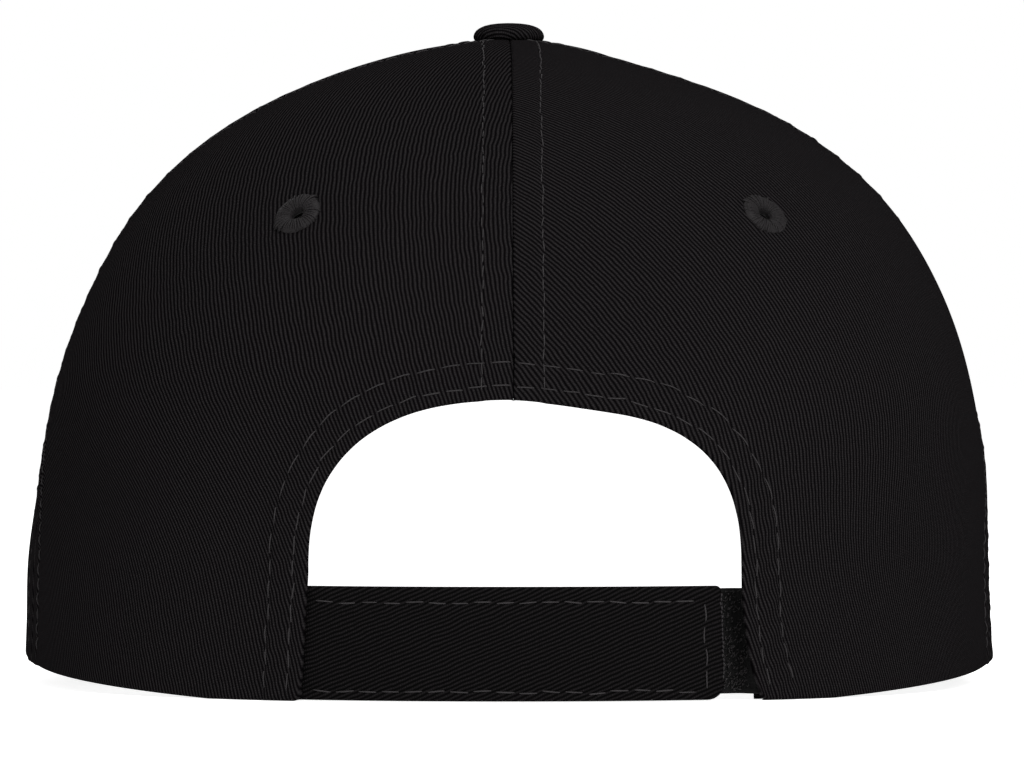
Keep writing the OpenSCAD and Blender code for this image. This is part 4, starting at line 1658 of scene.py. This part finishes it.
@dataclass
class Closure:
    """The strap with its hook tape, and the loop tab that it laps over."""

    surface: CapSurface
    finishes: Finishes
    strap_sizes: BandSizes = BandSizes(48.0, -34.6, 0.15, 19.75, 1.3, 1.6)
    tab_sizes: BandSizes = BandSizes(-48.4, 7.4, 1.0, 19.2, 4.95, 1.2, tuck=3.1, tuck_at=7.6)
    strap_bend: tuple = ((0.0400, 0.0905, 0.01), (0.0336, 0.0925, 0.01))
    tab_bend: tuple = ((-0.0400, 0.0845, 0.01), (-0.0334, 0.0869, 0.01))
    strap_wide: float = 0.0212
    tab_wide: float = 0.0195
    strap_sewn: float = 37.5
    hook_depth: float = 3.3
    loops: int = 1000
    loops_last: float = -39.0

    def __post_init__(self) -> None:
        """Sets out the strap and the tab."""
        self.rng = np.random.default_rng(23)
        self.strap = Band(self.surface, self.strap_sizes, (1.75, 17.0), 3.1)
        self.tab = Band(self.surface, self.tab_sizes, (2.4, 17.8), 2.0, 3.0)

    def build(self) -> None:
        """Builds the strap, the tab, and the hooks and loops between them."""
        body = Shape()
        self.strap.add_body(body)
        strap = body.build("strap_cloth", self.finishes.strap_twill)
        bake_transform(strap)
        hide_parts("closure_strap", "strap_root")
        rows = Shape()
        self.strap.sew_rows(rows, self.strap_sewn, self.rng)
        stitches = rows.build("strap_stitching", self.finishes.thread)
        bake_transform(stitches)
        self._hooks()

        base = Shape()
        self.tab.add_body(base)
        tab = base.build("loop_tab_cloth", self.finishes.ground)
        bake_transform(tab)
        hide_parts("loop_tab", "loop_tab_root")
        pile = self._pile()
        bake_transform(pile)
        LOG.info("closure: strap %.0f mm, tab %.0f mm", self.strap.length, self.tab.length)

    def _hooks(self) -> Piece:
        """Hook tape: a moulded strip with rows of small bent hooks, on the strap's inner face.

        Returns:
            The hook tape.
        """
        surface, shape = self.surface, Shape()
        x = np.linspace(-33.1, 4.9, 60)
        z = np.linspace(1.6, 18.3, 20)
        angle = surface.angle_at(x, BAND_LEVEL, self.hook_depth - 0.25)
        face = surface.point(angle[None], z[:, None], self.hook_depth)
        shape.add_grid(face, np.stack(np.meshgrid(x, z), -1))
        gx, gz = np.meshgrid(np.arange(-32.5, 4.6, 1.05), np.arange(2.2, 18.0, 1.0))
        gx, gz = gx.ravel(), gz.ravel()
        count = len(gx)
        t = np.linspace(0, 1, 6)
        bend = np.clip(t * 1.5 - 0.5, 0, 1)
        way = np.where(np.arange(count) % 2 == 0, 1.0, -1.0)[:, None]
        hook_x = gx[:, None] + way * 0.28 * (1 - np.cos(bend * 2.4))
        depth = self.hook_depth + 0.42 * np.minimum(t * 1.6, 1) - 0.14 * np.clip(bend * 2 - 1, 0, 1)
        depth = np.broadcast_to(depth, hook_x.shape)
        path = surface.point(surface.angle_at(hook_x, BAND_LEVEL, depth), gz[:, None], depth)
        add_tubes(shape, path, np.broadcast_to([0.0, 0.0, 1.0], path.shape), 0.1, 4)
        return dressed(shape, "hook_tape_hooks", self.finishes.hooks, "hook_tape", "hook_tape",
                       body="strap")

    def _pile(self) -> Piece:
        """Loop pile: fine curled fibres that stand on the tab's outer face.

        Returns:
            The fibres, not yet on a body.
        """
        surface, shape, rng = self.surface, Shape(), self.rng
        count, last = self.loops, self.loops_last
        x = rng.uniform(last, 6.2, count)
        # The stretch that shows beyond the strap is thicker with loops.
        dense = rng.random(count) < 0.22
        x = np.where(dense, rng.uniform(last, last + 5.0, count), x)[:, None]
        z = rng.uniform(1.6, 18.7, count)[:, None]
        t = np.linspace(0, 1, 7)
        heading = rng.uniform(0, TAU, count)[:, None]
        size = rng.uniform(0.35, 0.75, count)[:, None]
        sweep = np.sin(t * np.pi) * 0.5 + t * 0.6
        px = x + size * sweep * np.cos(heading) + 0.1 * np.sin(7 * t + heading)
        pz = z + size * sweep * np.sin(heading) + 0.1 * np.cos(6 * t - heading)
        under = self.tab_sizes.layer(np.clip(px - self.tab_sizes.start, 0, None))
        depth = under + 0.05 - 0.72 * np.sin(t * np.pi * 0.95) * (0.6 + 0.5 * size)
        path = surface.point(surface.angle_at(px, BAND_LEVEL, depth), np.clip(pz, 1.3, 19.0), depth)
        add_tubes(shape, path, unit(path * [1, 1, 0]), 0.055, 3)
        made = shape.build("loop_pile_fibres", self.finishes.pile)
        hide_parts("loop_tape")
        return made


# ---------------- the visor


@dataclass
class Visor:
    """The curved visor: two twill covers over a board, with rows of stitches round it."""

    surface: CapSurface
    finishes: Finishes
    rows: tuple = tuple(4.0 + 6.0 * n for n in range(8))
    stitch: StitchSizes = StitchSizes(3.0, 0.84, 0.17, 0.34)
    spread: float = 0.985
    flat: tuple = (0.186, 0.122)

    def __post_init__(self) -> None:
        """Sets out the visor's edge."""
        self.rng = np.random.default_rng(5)
        sides, tuck = self._sides(700), self.surface.sizes.visor_tuck
        self.edge = self.surface.visor_xy(np.ones(700), sides, tuck)
        self.edge_run = lengths_along(self.edge)

    def _sides(self, count: int) -> Array:
        """Shares from side to side, closer together where the visor's edge turns back."""
        return self.spread * np.sin(np.linspace(-1, 1, count) * np.pi / 2)

    def measure(self, p: Array) -> tuple[Array, Array]:
        """Distance from the visor's edge, and the run along it, of places in plan.

        Args:
            p: Places in plan.
        Returns:
            The distances and the runs.
        """
        flat = p.reshape(-1, 2)
        gap, run = np.empty(len(flat)), np.empty(len(flat))
        for n in range(0, len(flat), 3000):
            span = np.hypot(flat[n : n + 3000, None, 0] - self.edge[None, :, 0],
                            flat[n : n + 3000, None, 1] - self.edge[None, :, 1])
            gap[n : n + 3000], run[n : n + 3000] = span.min(1), self.edge_run[span.argmin(1)]
        return gap.reshape(p.shape[:-1]), run.reshape(p.shape[:-1])

    def thickness(self, gap: Array, run: Array, over: float) -> Array:
        """Height of a cover's face from the middle of the visor.

        Args:
            gap: Distance from the visor's edge.
            run: Length along the edge.
            over: Number that sets the unevenness of one cover.
        Returns:
            The height at each place.
        """
        half = self.surface.sizes.visor_t / 2
        total = half * np.sqrt(np.clip(1 - np.clip(1 - gap / 1.7, 0, 1) ** 2, 0, 1))
        wave = TAU * run / self.stitch.pitch
        for row in self.rows:
            dip = np.exp(-(((gap - row) / 0.55) ** 2))
            total = total - 0.2 * dip * (0.7 + 0.3 * np.cos(wave))
        return total + 0.05 * ripple(run / 8, gap / 5, over) * np.clip(gap / 3, 0, 1)

    def build(self) -> None:
        """Builds both covers and their stitching."""
        side = self._sides(260)
        out = np.concatenate([np.linspace(0, 0.94, 150), np.linspace(0.94, 1, 14)[1:]])
        tuck = self.surface.sizes.visor_tuck
        p = self.surface.visor_xy(out[None, :], side[:, None], tuck)
        gap, run = self.measure(p)
        for name, sign in (("visor_top_cover", 1.0), ("visor_bottom_cover", -1.0)):
            z = self.surface.visor_mid(p) + sign * self.thickness(gap, run, 3 + sign)
            shape = Shape()
            shape.add_grid(np.concatenate([p, z[..., None]], -1), p.copy(), flip=sign > 0)
            made = dressed(shape, f"{name}_cloth", self.finishes.twill, "crown_twill", name)
            rows = Shape()
            for row in self.rows:
                self._row(rows, row, sign)
            stitches = dressed(rows, f"{name}_stitching", self.finishes.thread, "eyelet_thread")
        LOG.info("visor: %d rows of stitches", len(self.rows))

    @staticmethod
    def _area(p: Array) -> float:
        """Area in plan of the visor, in square metres."""
        a, b = np.diff(p, axis=0)[:, :-1], np.diff(p, axis=1)[:-1]
        return float(np.abs(a[..., 0] * b[..., 1] - a[..., 1] * b[..., 0]).sum()) * MM * MM

    def _row(self, shape: Shape, offset: float, sign: float) -> None:
        """Adds one row of stitches parallel to the visor's edge.

        Args:
            shape: The shape that takes the part.
            offset: Distance of the row from the visor's edge.
            sign: 1 for the upper cover and -1 for the lower one.
        """
        ahead = unit(np.gradient(self.edge, axis=0))
        inward = np.stack([-ahead[:, 1], ahead[:, 0]], -1)
        if inward[350, 1] < 0:
            inward = -inward
        p = self.edge + inward * offset
        gap, run = self.measure(p)
        angle = np.degrees(np.arctan2(p[:, 0], p[:, 1]))
        z = self.surface.visor_mid(p)
        wall = self.surface.radius(angle, z + 2, 0.0) - 0.5
        keep = (np.hypot(p[:, 0], p[:, 1]) > wall) & (gap > offset - 0.3)
        if keep.sum() < 20:
            return
        z = z + sign * self.thickness(gap, run, 3 + sign)
        path = np.concatenate([p, z[:, None]], -1)[keep]
        up = np.broadcast_to([0.0, 0.0, sign], path.shape)
        sew(shape, path, up, run[keep], self.stitch, self.rng)


# ---------------- inside the crown


@dataclass
class Lining:
    """Seam tapes, buckram, facing, padding and sweatband inside the crown."""

    crown: Crown
    tape_depths: tuple = (1.3, 1.45, 1.95, 1.95, 1.95, 1.45)
    tape_names: tuple = ("centre_back_seam_tape", "back_seam_tape_left", "front_seam_tape_left",
                         "centre_front_seam_tape", "front_seam_tape_right", "back_seam_tape_right")
    tape_half: float = 7.0
    tape_taper: float = math.tan(math.radians(25))
    tape_t: float = 0.45
    tape_row: float = 0.66
    tape_stitch: StitchSizes = StitchSizes(2.7, 0.84, 0.17, 0.3)
    buckram_hole_r: float = 5.0
    buckram_top: float = 15.0
    facing_depth: float = 2.0
    band_start: float = 40.2
    band_stitch: StitchSizes = StitchSizes(3.2, 0.84, 0.17, 0.3)
    row_high: float = 2.2
    row_low: float = 3.0

    def __post_init__(self) -> None:
        """Sets out the lining of a crown."""
        crown = self.crown
        self.surface, self.finishes, self.opening = crown.surface, crown.finishes, crown.opening
        self.holes = [panel.hole for panel in crown.panels]
        self.rng = np.random.default_rng(31)

    def build(self) -> None:
        """Builds every piece of the lining."""
        for k, name in enumerate(self.tape_names):
            self._tape(k, name)
        for k, side in ((2, Side.LEFT), (3, Side.RIGHT)):
            self._buckram(k, side)
        self._facing()
        self._band("sweatband_padding", 3.5, 0.8, 1.0, 30.0, self.finishes.padding, "sweatband_padding")
        self._band("sweatband", 4.4, 0.7, 0.0, 32.0, self.finishes.strap_twill, "sweatband_cloth")
        self._washer()
        LOG.info("lining: tapes, buckram, facing, padding, sweatband")

    def _tape_points(self, k: int, x: Array, up: Array, depth: Array) -> Array:
        """Places on the tape of seam k, where x runs from -1 to 1 across it.

        Args:
            k: Number of the seam.
            x: Place across the tape.
            up: Share up.
            depth: Depth below the face.
        Returns:
            The places.
        """
        s = self.surface
        angle = s.seam(k, up)
        z = s.level(s.sizes.seams[k] + 0 * up, up, depth, 2.0)
        r = s.radius(angle, z, depth)
        turned = angle + np.degrees(x * np.minimum(self.tape_half, r * self.tape_taper) / r)
        r = s.radius(turned, z, depth) - s.sizes.puff * np.minimum(r / 20, 1)
        return round_axis(r, np.radians(turned), z)

    def _tape(self, k: int, name: str) -> None:
        """Builds one woven seam tape with its two rows of stitches.

        Args:
            k: Number of the seam.
            name: Name of the tape.
        """
        # The centre back tape starts over the opening.
        low = 0.262 if k == 0 else 0.0
        ups = np.linspace(low, 0.955, 130)
        run = np.linspace(-1, 1, 17)
        x = np.concatenate([run, run[::-1]])
        out = np.concatenate([np.zeros(17), np.full(17, self.tape_t)])
        crease = 0.12 * np.exp(-((np.abs(x) - self.tape_row) / 0.1) ** 2) * (out > 0)
        depth = self.tape_depths[k] + out - crease + 0.05 * ripple(ups[:, None] * 60, x, k) * (out > 0)
        up = np.broadcast_to(ups[:, None], depth.shape)
        points = self._tape_points(k, x[None], up, depth)
        along = lengths_along(points[:, 8])
        cloth = np.stack(np.broadcast_arrays(self.tape_half * x[None], along[:, None]), -1)
        shape = Shape()
        shape.add_grid(points, cloth, ring=True, ends=True)
        made = dressed(shape, f"{name}_cloth", self.finishes.tape, "lining_tape", name)
        rows = Shape()
        inner = np.full(130, self.tape_depths[k] + 0.35)
        for side in (-self.tape_row, self.tape_row):
            path = self._tape_points(k, np.full(130, side), ups, inner)
            inward = -unit(path * [1, 1, 0] + [0, 0, 20])
            sew(rows, path, inward, along, self.tape_stitch, self.rng)
        stitches = dressed(rows, f"{name}_stitching", self.finishes.thread, "eyelet_thread")

    def _buckram(self, k: int, side: Side) -> None:
        """Builds the open stiffened weave behind one front panel.

        Args:
            k: Number of the panel.
            side: Side of the wearer.
        """
        across, up = np.linspace(0.035, 0.965, 44)[None], np.linspace(0.02, 0.955, 60)[:, None]
        across, up = np.broadcast_arrays(across, up)
        here = self.surface.panel(k, across, up, 1.5, 3.0)
        faces = grid_faces(*across.shape)
        clear = np.hypot(here[..., 0], here[..., 1]).ravel() > self.buckram_top
        faces = faces[clear[faces].all(1)]
        middles = here.reshape(-1, 3)[faces].mean(1)
        faces = faces[np.linalg.norm(middles - self.holes[k], axis=1) > self.buckram_hole_r]
        wide = np.linalg.norm(np.diff(here, axis=1), axis=2).sum(1)
        tall = lengths_along(here[:, 22])
        cloth = np.stack([(across - 0.5) * wide[:, None], np.broadcast_to(tall[:, None], up.shape)], -1)
        shape = Shape()
        shape.add(here, faces, cloth)
        name = f"front_buckram_{side.value}"
        made = dressed(shape, f"{name}_weave", self.finishes.buckram, "buckram", name)

    def _facing(self) -> None:
        """Builds the tape that faces the back opening inside."""
        curve, run = self.opening.curve, self.opening.run
        above = run[curve[:, 1] > 21.8]
        runs = np.linspace(above[0], above[-1], 150)
        span = np.linspace(0.3, 8.0, 12)
        offset = np.concatenate([span, span[::-1]])
        x, z = self.opening.beside(runs, offset)
        depth = np.broadcast_to(self.facing_depth + self.tape_t * (np.arange(24) > 11), x.shape)
        points = self.surface.point(self.surface.angle_at(x, z, depth), z, depth)
        cloth = np.stack([np.broadcast_to(offset, x.shape), np.broadcast_to(runs[:, None], x.shape)], -1)
        shape = Shape()
        shape.add_grid(points, cloth, ring=True, ends=True)
        dressed(shape, "arch_facing_cloth", self.finishes.tape, "lining_tape", "arch_facing")

    def _band(self, name: str, depth: float, thick: float, low: float, high: float,
              material: Material, slot: str) -> None:
        """Builds a band round the inside of the rim, open at the back.

        Args:
            name: Name of the band.
            depth: Depth of its outer face.
            thick: Its thickness.
            low: Height of its lower edge over the rim.
            high: Height of its upper edge over the rim.
            material: Its finish.
            slot: Its material slot.
        """
        surface = self.surface
        start = float(surface.angle_at(np.array(self.band_start), BAND_LEVEL, depth))
        around = np.linspace(start, 360 - start, 620)
        run = np.linspace(low, high, 26)
        turn = np.linspace(0, np.pi, 7)[1:-1]
        z = np.concatenate([run, high + thick / 2 * np.sin(turn) - thick / 4, run[::-1],
                            low + 0 * turn - 0.1 * np.sin(turn) + 0.1])
        side = np.concatenate([np.full(26, 1.0), np.cos(turn), np.full(26, -1.0), -np.cos(turn)])
        inner = np.clip(side, 0, 1)[None]
        wave = 0.07 * ripple(around / 4, around / 3, 1.0)[:, None] * inner
        heights = (high - self.row_high, low + self.row_low)
        dip = sum(0.16 * np.exp(-(((z - height) / 0.5) ** 2)) for height in heights)
        d = depth + thick / 2 + side[None] * thick / 2 + wave - dip[None] * inner
        rim = surface.rim(around, surface.sizes.visor_tuck)
        points = surface.point(around[:, None], rim[:, None] + z[None], d)
        along = lengths_along(points[:, 10])
        cloth = np.stack(np.broadcast_arrays(along[:, None], z[None]), -1)
        shape = Shape()
        shape.add_grid(points, cloth, ring=True, flip=True, ends=True)
        made = dressed(shape, f"{name}_cloth", material, slot, name)
        rows = Shape()
        for height in heights:
            path = surface.point(around, rim + height, np.full(620, depth + thick - 0.12))
            sew(rows, path, -unit(path * [1, 1, 0]), along, self.band_stitch, self.rng)
        stitches = dressed(rows, f"{name}_stitching", self.finishes.thread, "eyelet_thread")

    def _washer(self) -> None:
        """Builds the steel washer and the prong that hold the button."""
        turn = np.arange(48) * TAU / 48
        top = self.surface.sizes.height - self.tape_depths[3] - self.tape_t - 1.1
        washer = [(1.3, top - 0.1), (1.4, top), (5.3, top), (5.5, top - 0.15), (5.5, top - 0.6),
                  (5.2, top - 0.8), (1.5, top - 0.8), (1.3, top - 0.7), (1.3, top - 0.1)]
        prong = [(1.2, 119.8), (1.2, top - 1.4), (1.0, top - 1.75), (0.4, top - 1.85), (0.01, top - 1.86)]
        for name, profile in (("button_washer", washer), ("button_prong", prong)):
            cut = np.array(profile)
            net = round_axis(cut[:, :1], turn, cut[:, 1:])
            shape = Shape()
            shape.add_grid(net, ring=True, flip=name == "button_prong")
            dressed(shape, f"{name}_steel", self.finishes.steel, "button_steel", name)


# ---------------- the studio


@dataclass
class Studio:
    """Pale floor, soft lights, white surroundings and the camera."""

    camera_distance: float = 1.290
    camera_height: float = 0.0545
    camera_azimuth: float = 178.5
    camera_aside: float = 0.00056
    lens: float = 244.9
    film: float = 36.0
    floor_half: float = 60000.0
    world_cast: float = 0.22
    # Each light: its name, its place and width in metres, and its power in watts.
    lights: tuple = (
        ("key", (-0.75, 1.35, 1.15), 1.1, 25.0),
        ("fill", (0.95, 1.30, 0.55), 1.1, 5.0),
        ("top", (0.0, 0.15, 1.60), 1.2, 11.0),
        ("front", (0.5, -1.50, 0.90), 1.2, 4.5),
    )

    def build(self) -> None:
        """Builds the stage round the cap."""
        bpy.context.scene.view_settings.view_transform = "Standard"
        bpy.context.scene.view_settings.look = "None"
        self._surroundings()
        self._floor()
        self._cards()
        for light in self.lights:
            self._light(*light)
        self._camera()

    def _surroundings(self) -> None:
        """White surroundings that read as pure white and light the cap softly."""
        world = bpy.data.worlds.new("studio")
        bpy.context.scene.world = world
        world.use_nodes = True
        tree = world.node_tree
        tree.nodes.clear()
        output = tree.nodes.new("ShaderNodeOutputWorld")
        seen, cast = tree.nodes.new("ShaderNodeBackground"), tree.nodes.new("ShaderNodeBackground")
        seen.inputs[0].default_value = cast.inputs[0].default_value = (1, 1, 1, 1)
        seen.inputs[1].default_value, cast.inputs[1].default_value = 1.0, self.world_cast
        path, mix = tree.nodes.new("ShaderNodeLightPath"), tree.nodes.new("ShaderNodeMixShader")
        tree.links.new(path.outputs["Is Camera Ray"], mix.inputs[0])
        tree.links.new(cast.outputs[0], mix.inputs[1])
        tree.links.new(seen.outputs[0], mix.inputs[2])
        tree.links.new(mix.outputs[0], output.inputs[0])

    @staticmethod
    def _pale(name: str, glow: float, cast: float, colour: str) -> Material:
        """Matt board that looks lit by itself, so that it reads as paper white.

        Args:
            name: Name of the material.
            glow: Light that the eye sees coming from it.
            cast: Share of that light which falls on the cap.
            colour: Its sRGB hex colour.
        Returns:
            The material.
        """
        n = Nodes(name)
        seen = n.add("LightPath").outputs["Is Camera Ray"]
        strength = n.math("MULTIPLY_ADD", seen, glow * (1 - cast), glow * cast)
        return n.close(n.add("BsdfPrincipled", {"Emission Strength": strength}, {
            "Base Color": linear(colour), "Roughness": 0.9, "Specular IOR Level": 0.1,
            "Emission Color": (1, 1, 1, 1)}))

    def _floor(self) -> None:
        """Large pale floor."""
        shape = Shape()
        half = self.floor_half
        shape.add([(x * half, y * half, -0.1) for x, y in ((-1, -1), (1, -1), (1, 1), (-1, 1))],
                  [(0, 1, 2, 3)])
        floor = shape.build("studio_floor", self._pale("floor_white", 0.86, 0.45, "#ececec"))
        floor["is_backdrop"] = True

    def _cards(self) -> None:
        """Cards inside the cap: a white one that glows so that the opening shows plain white, and black
        ones that are painted shade, so that the inside of the crown looks dark through the eyelets.
        """
        white = self._pale("card_white", 1.0, 0.5, "#f4f4f4")
        # Painted shade: the black cards stand where the inside of the crown would lie in shade.
        black = self._pale("painted_shade_card", 0.0, 0.0, "#050505")
        for name, half, low, high, y, finish in (
                ("studio_card", 46.0, 0.3, 58.0, 30.0, white),
                ("painted_shade_card_back", 45.6, 0.4, 57.6, 29.5, black),
                ("painted_shade_card_top", 52.0, 58.3, 96.0, 29.5, black)):
            x, z = np.linspace(-half, half, 24), np.linspace(low, high, 14)
            net = np.stack(np.broadcast_arrays(x[None], y - 0.004 * x[None] ** 2, z[:, None]), -1)
            shape = Shape()
            shape.add_grid(net, flip=True)
            shape.build(name, finish)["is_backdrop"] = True

    @staticmethod
    def _light(name: str, place: tuple, size: float, power: float) -> None:
        """Adds a soft area light aimed at the cap.

        Args:
            name: Name of the light.
            place: Its place, in metres.
            size: Its width, in metres.
            power: Its power, in watts.
        """
        data = bpy.data.lights.new(name, "AREA")
        data.shape, data.size, data.energy = "DISK", size, power
        lamp = bpy.data.objects.new(name, data)
        lamp.location = place
        lamp.rotation_euler = (Vector((0, 0, 0.06)) - Vector(place)).to_track_quat("-Z", "Y").to_euler()
        bpy.context.scene.collection.objects.link(lamp)

    def _camera(self) -> None:
        """Adds the camera behind the cap, level with the middle of it."""
        data = bpy.data.cameras.new("camera")
        data.lens, data.sensor_width = self.lens, self.film
        camera = bpy.data.objects.new("camera", data)
        a = math.radians(self.camera_azimuth)
        back = Vector((math.sin(a), -math.cos(a), 0.0))
        right = Vector((math.cos(a), math.sin(a), 0.0))
        camera.location = (back * self.camera_distance + right * self.camera_aside
                           + Vector((0, 0, self.camera_height)))
        camera.rotation_euler = (-back).to_track_quat("-Z", "Y").to_euler()
        bpy.context.scene.collection.objects.link(camera)
        bpy.context.scene.camera = camera


def measure(sizes: dict, key: str) -> None:
    """Notes the bounds of what is shown, as plain lists."""
    low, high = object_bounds()
    sizes[key] = [list(low), list(high)]


def main() -> None:
    """Builds the cap and the studio round it."""
    logging.basicConfig(level=logging.INFO, format="%(name)s %(message)s")
    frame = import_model()
    sizes: dict = {}
    measure(sizes, "packed")
    surface = CapSurface(CapSizes())
    finishes = Finishes()
    crown = Crown(surface, finishes)
    crown.build()
    Visor(surface, finishes).build()
    Lining(crown).build()
    Closure(surface, finishes).build()
    board = frame["nodes"]["visor_board"]
    board.data.materials.clear()
    board.data.materials.append(finishes.board)
    Studio().build()
    measure(sizes, "shown")
    LOG.info("bounds %s", sizes)


if __name__ == "__main__":
    main()
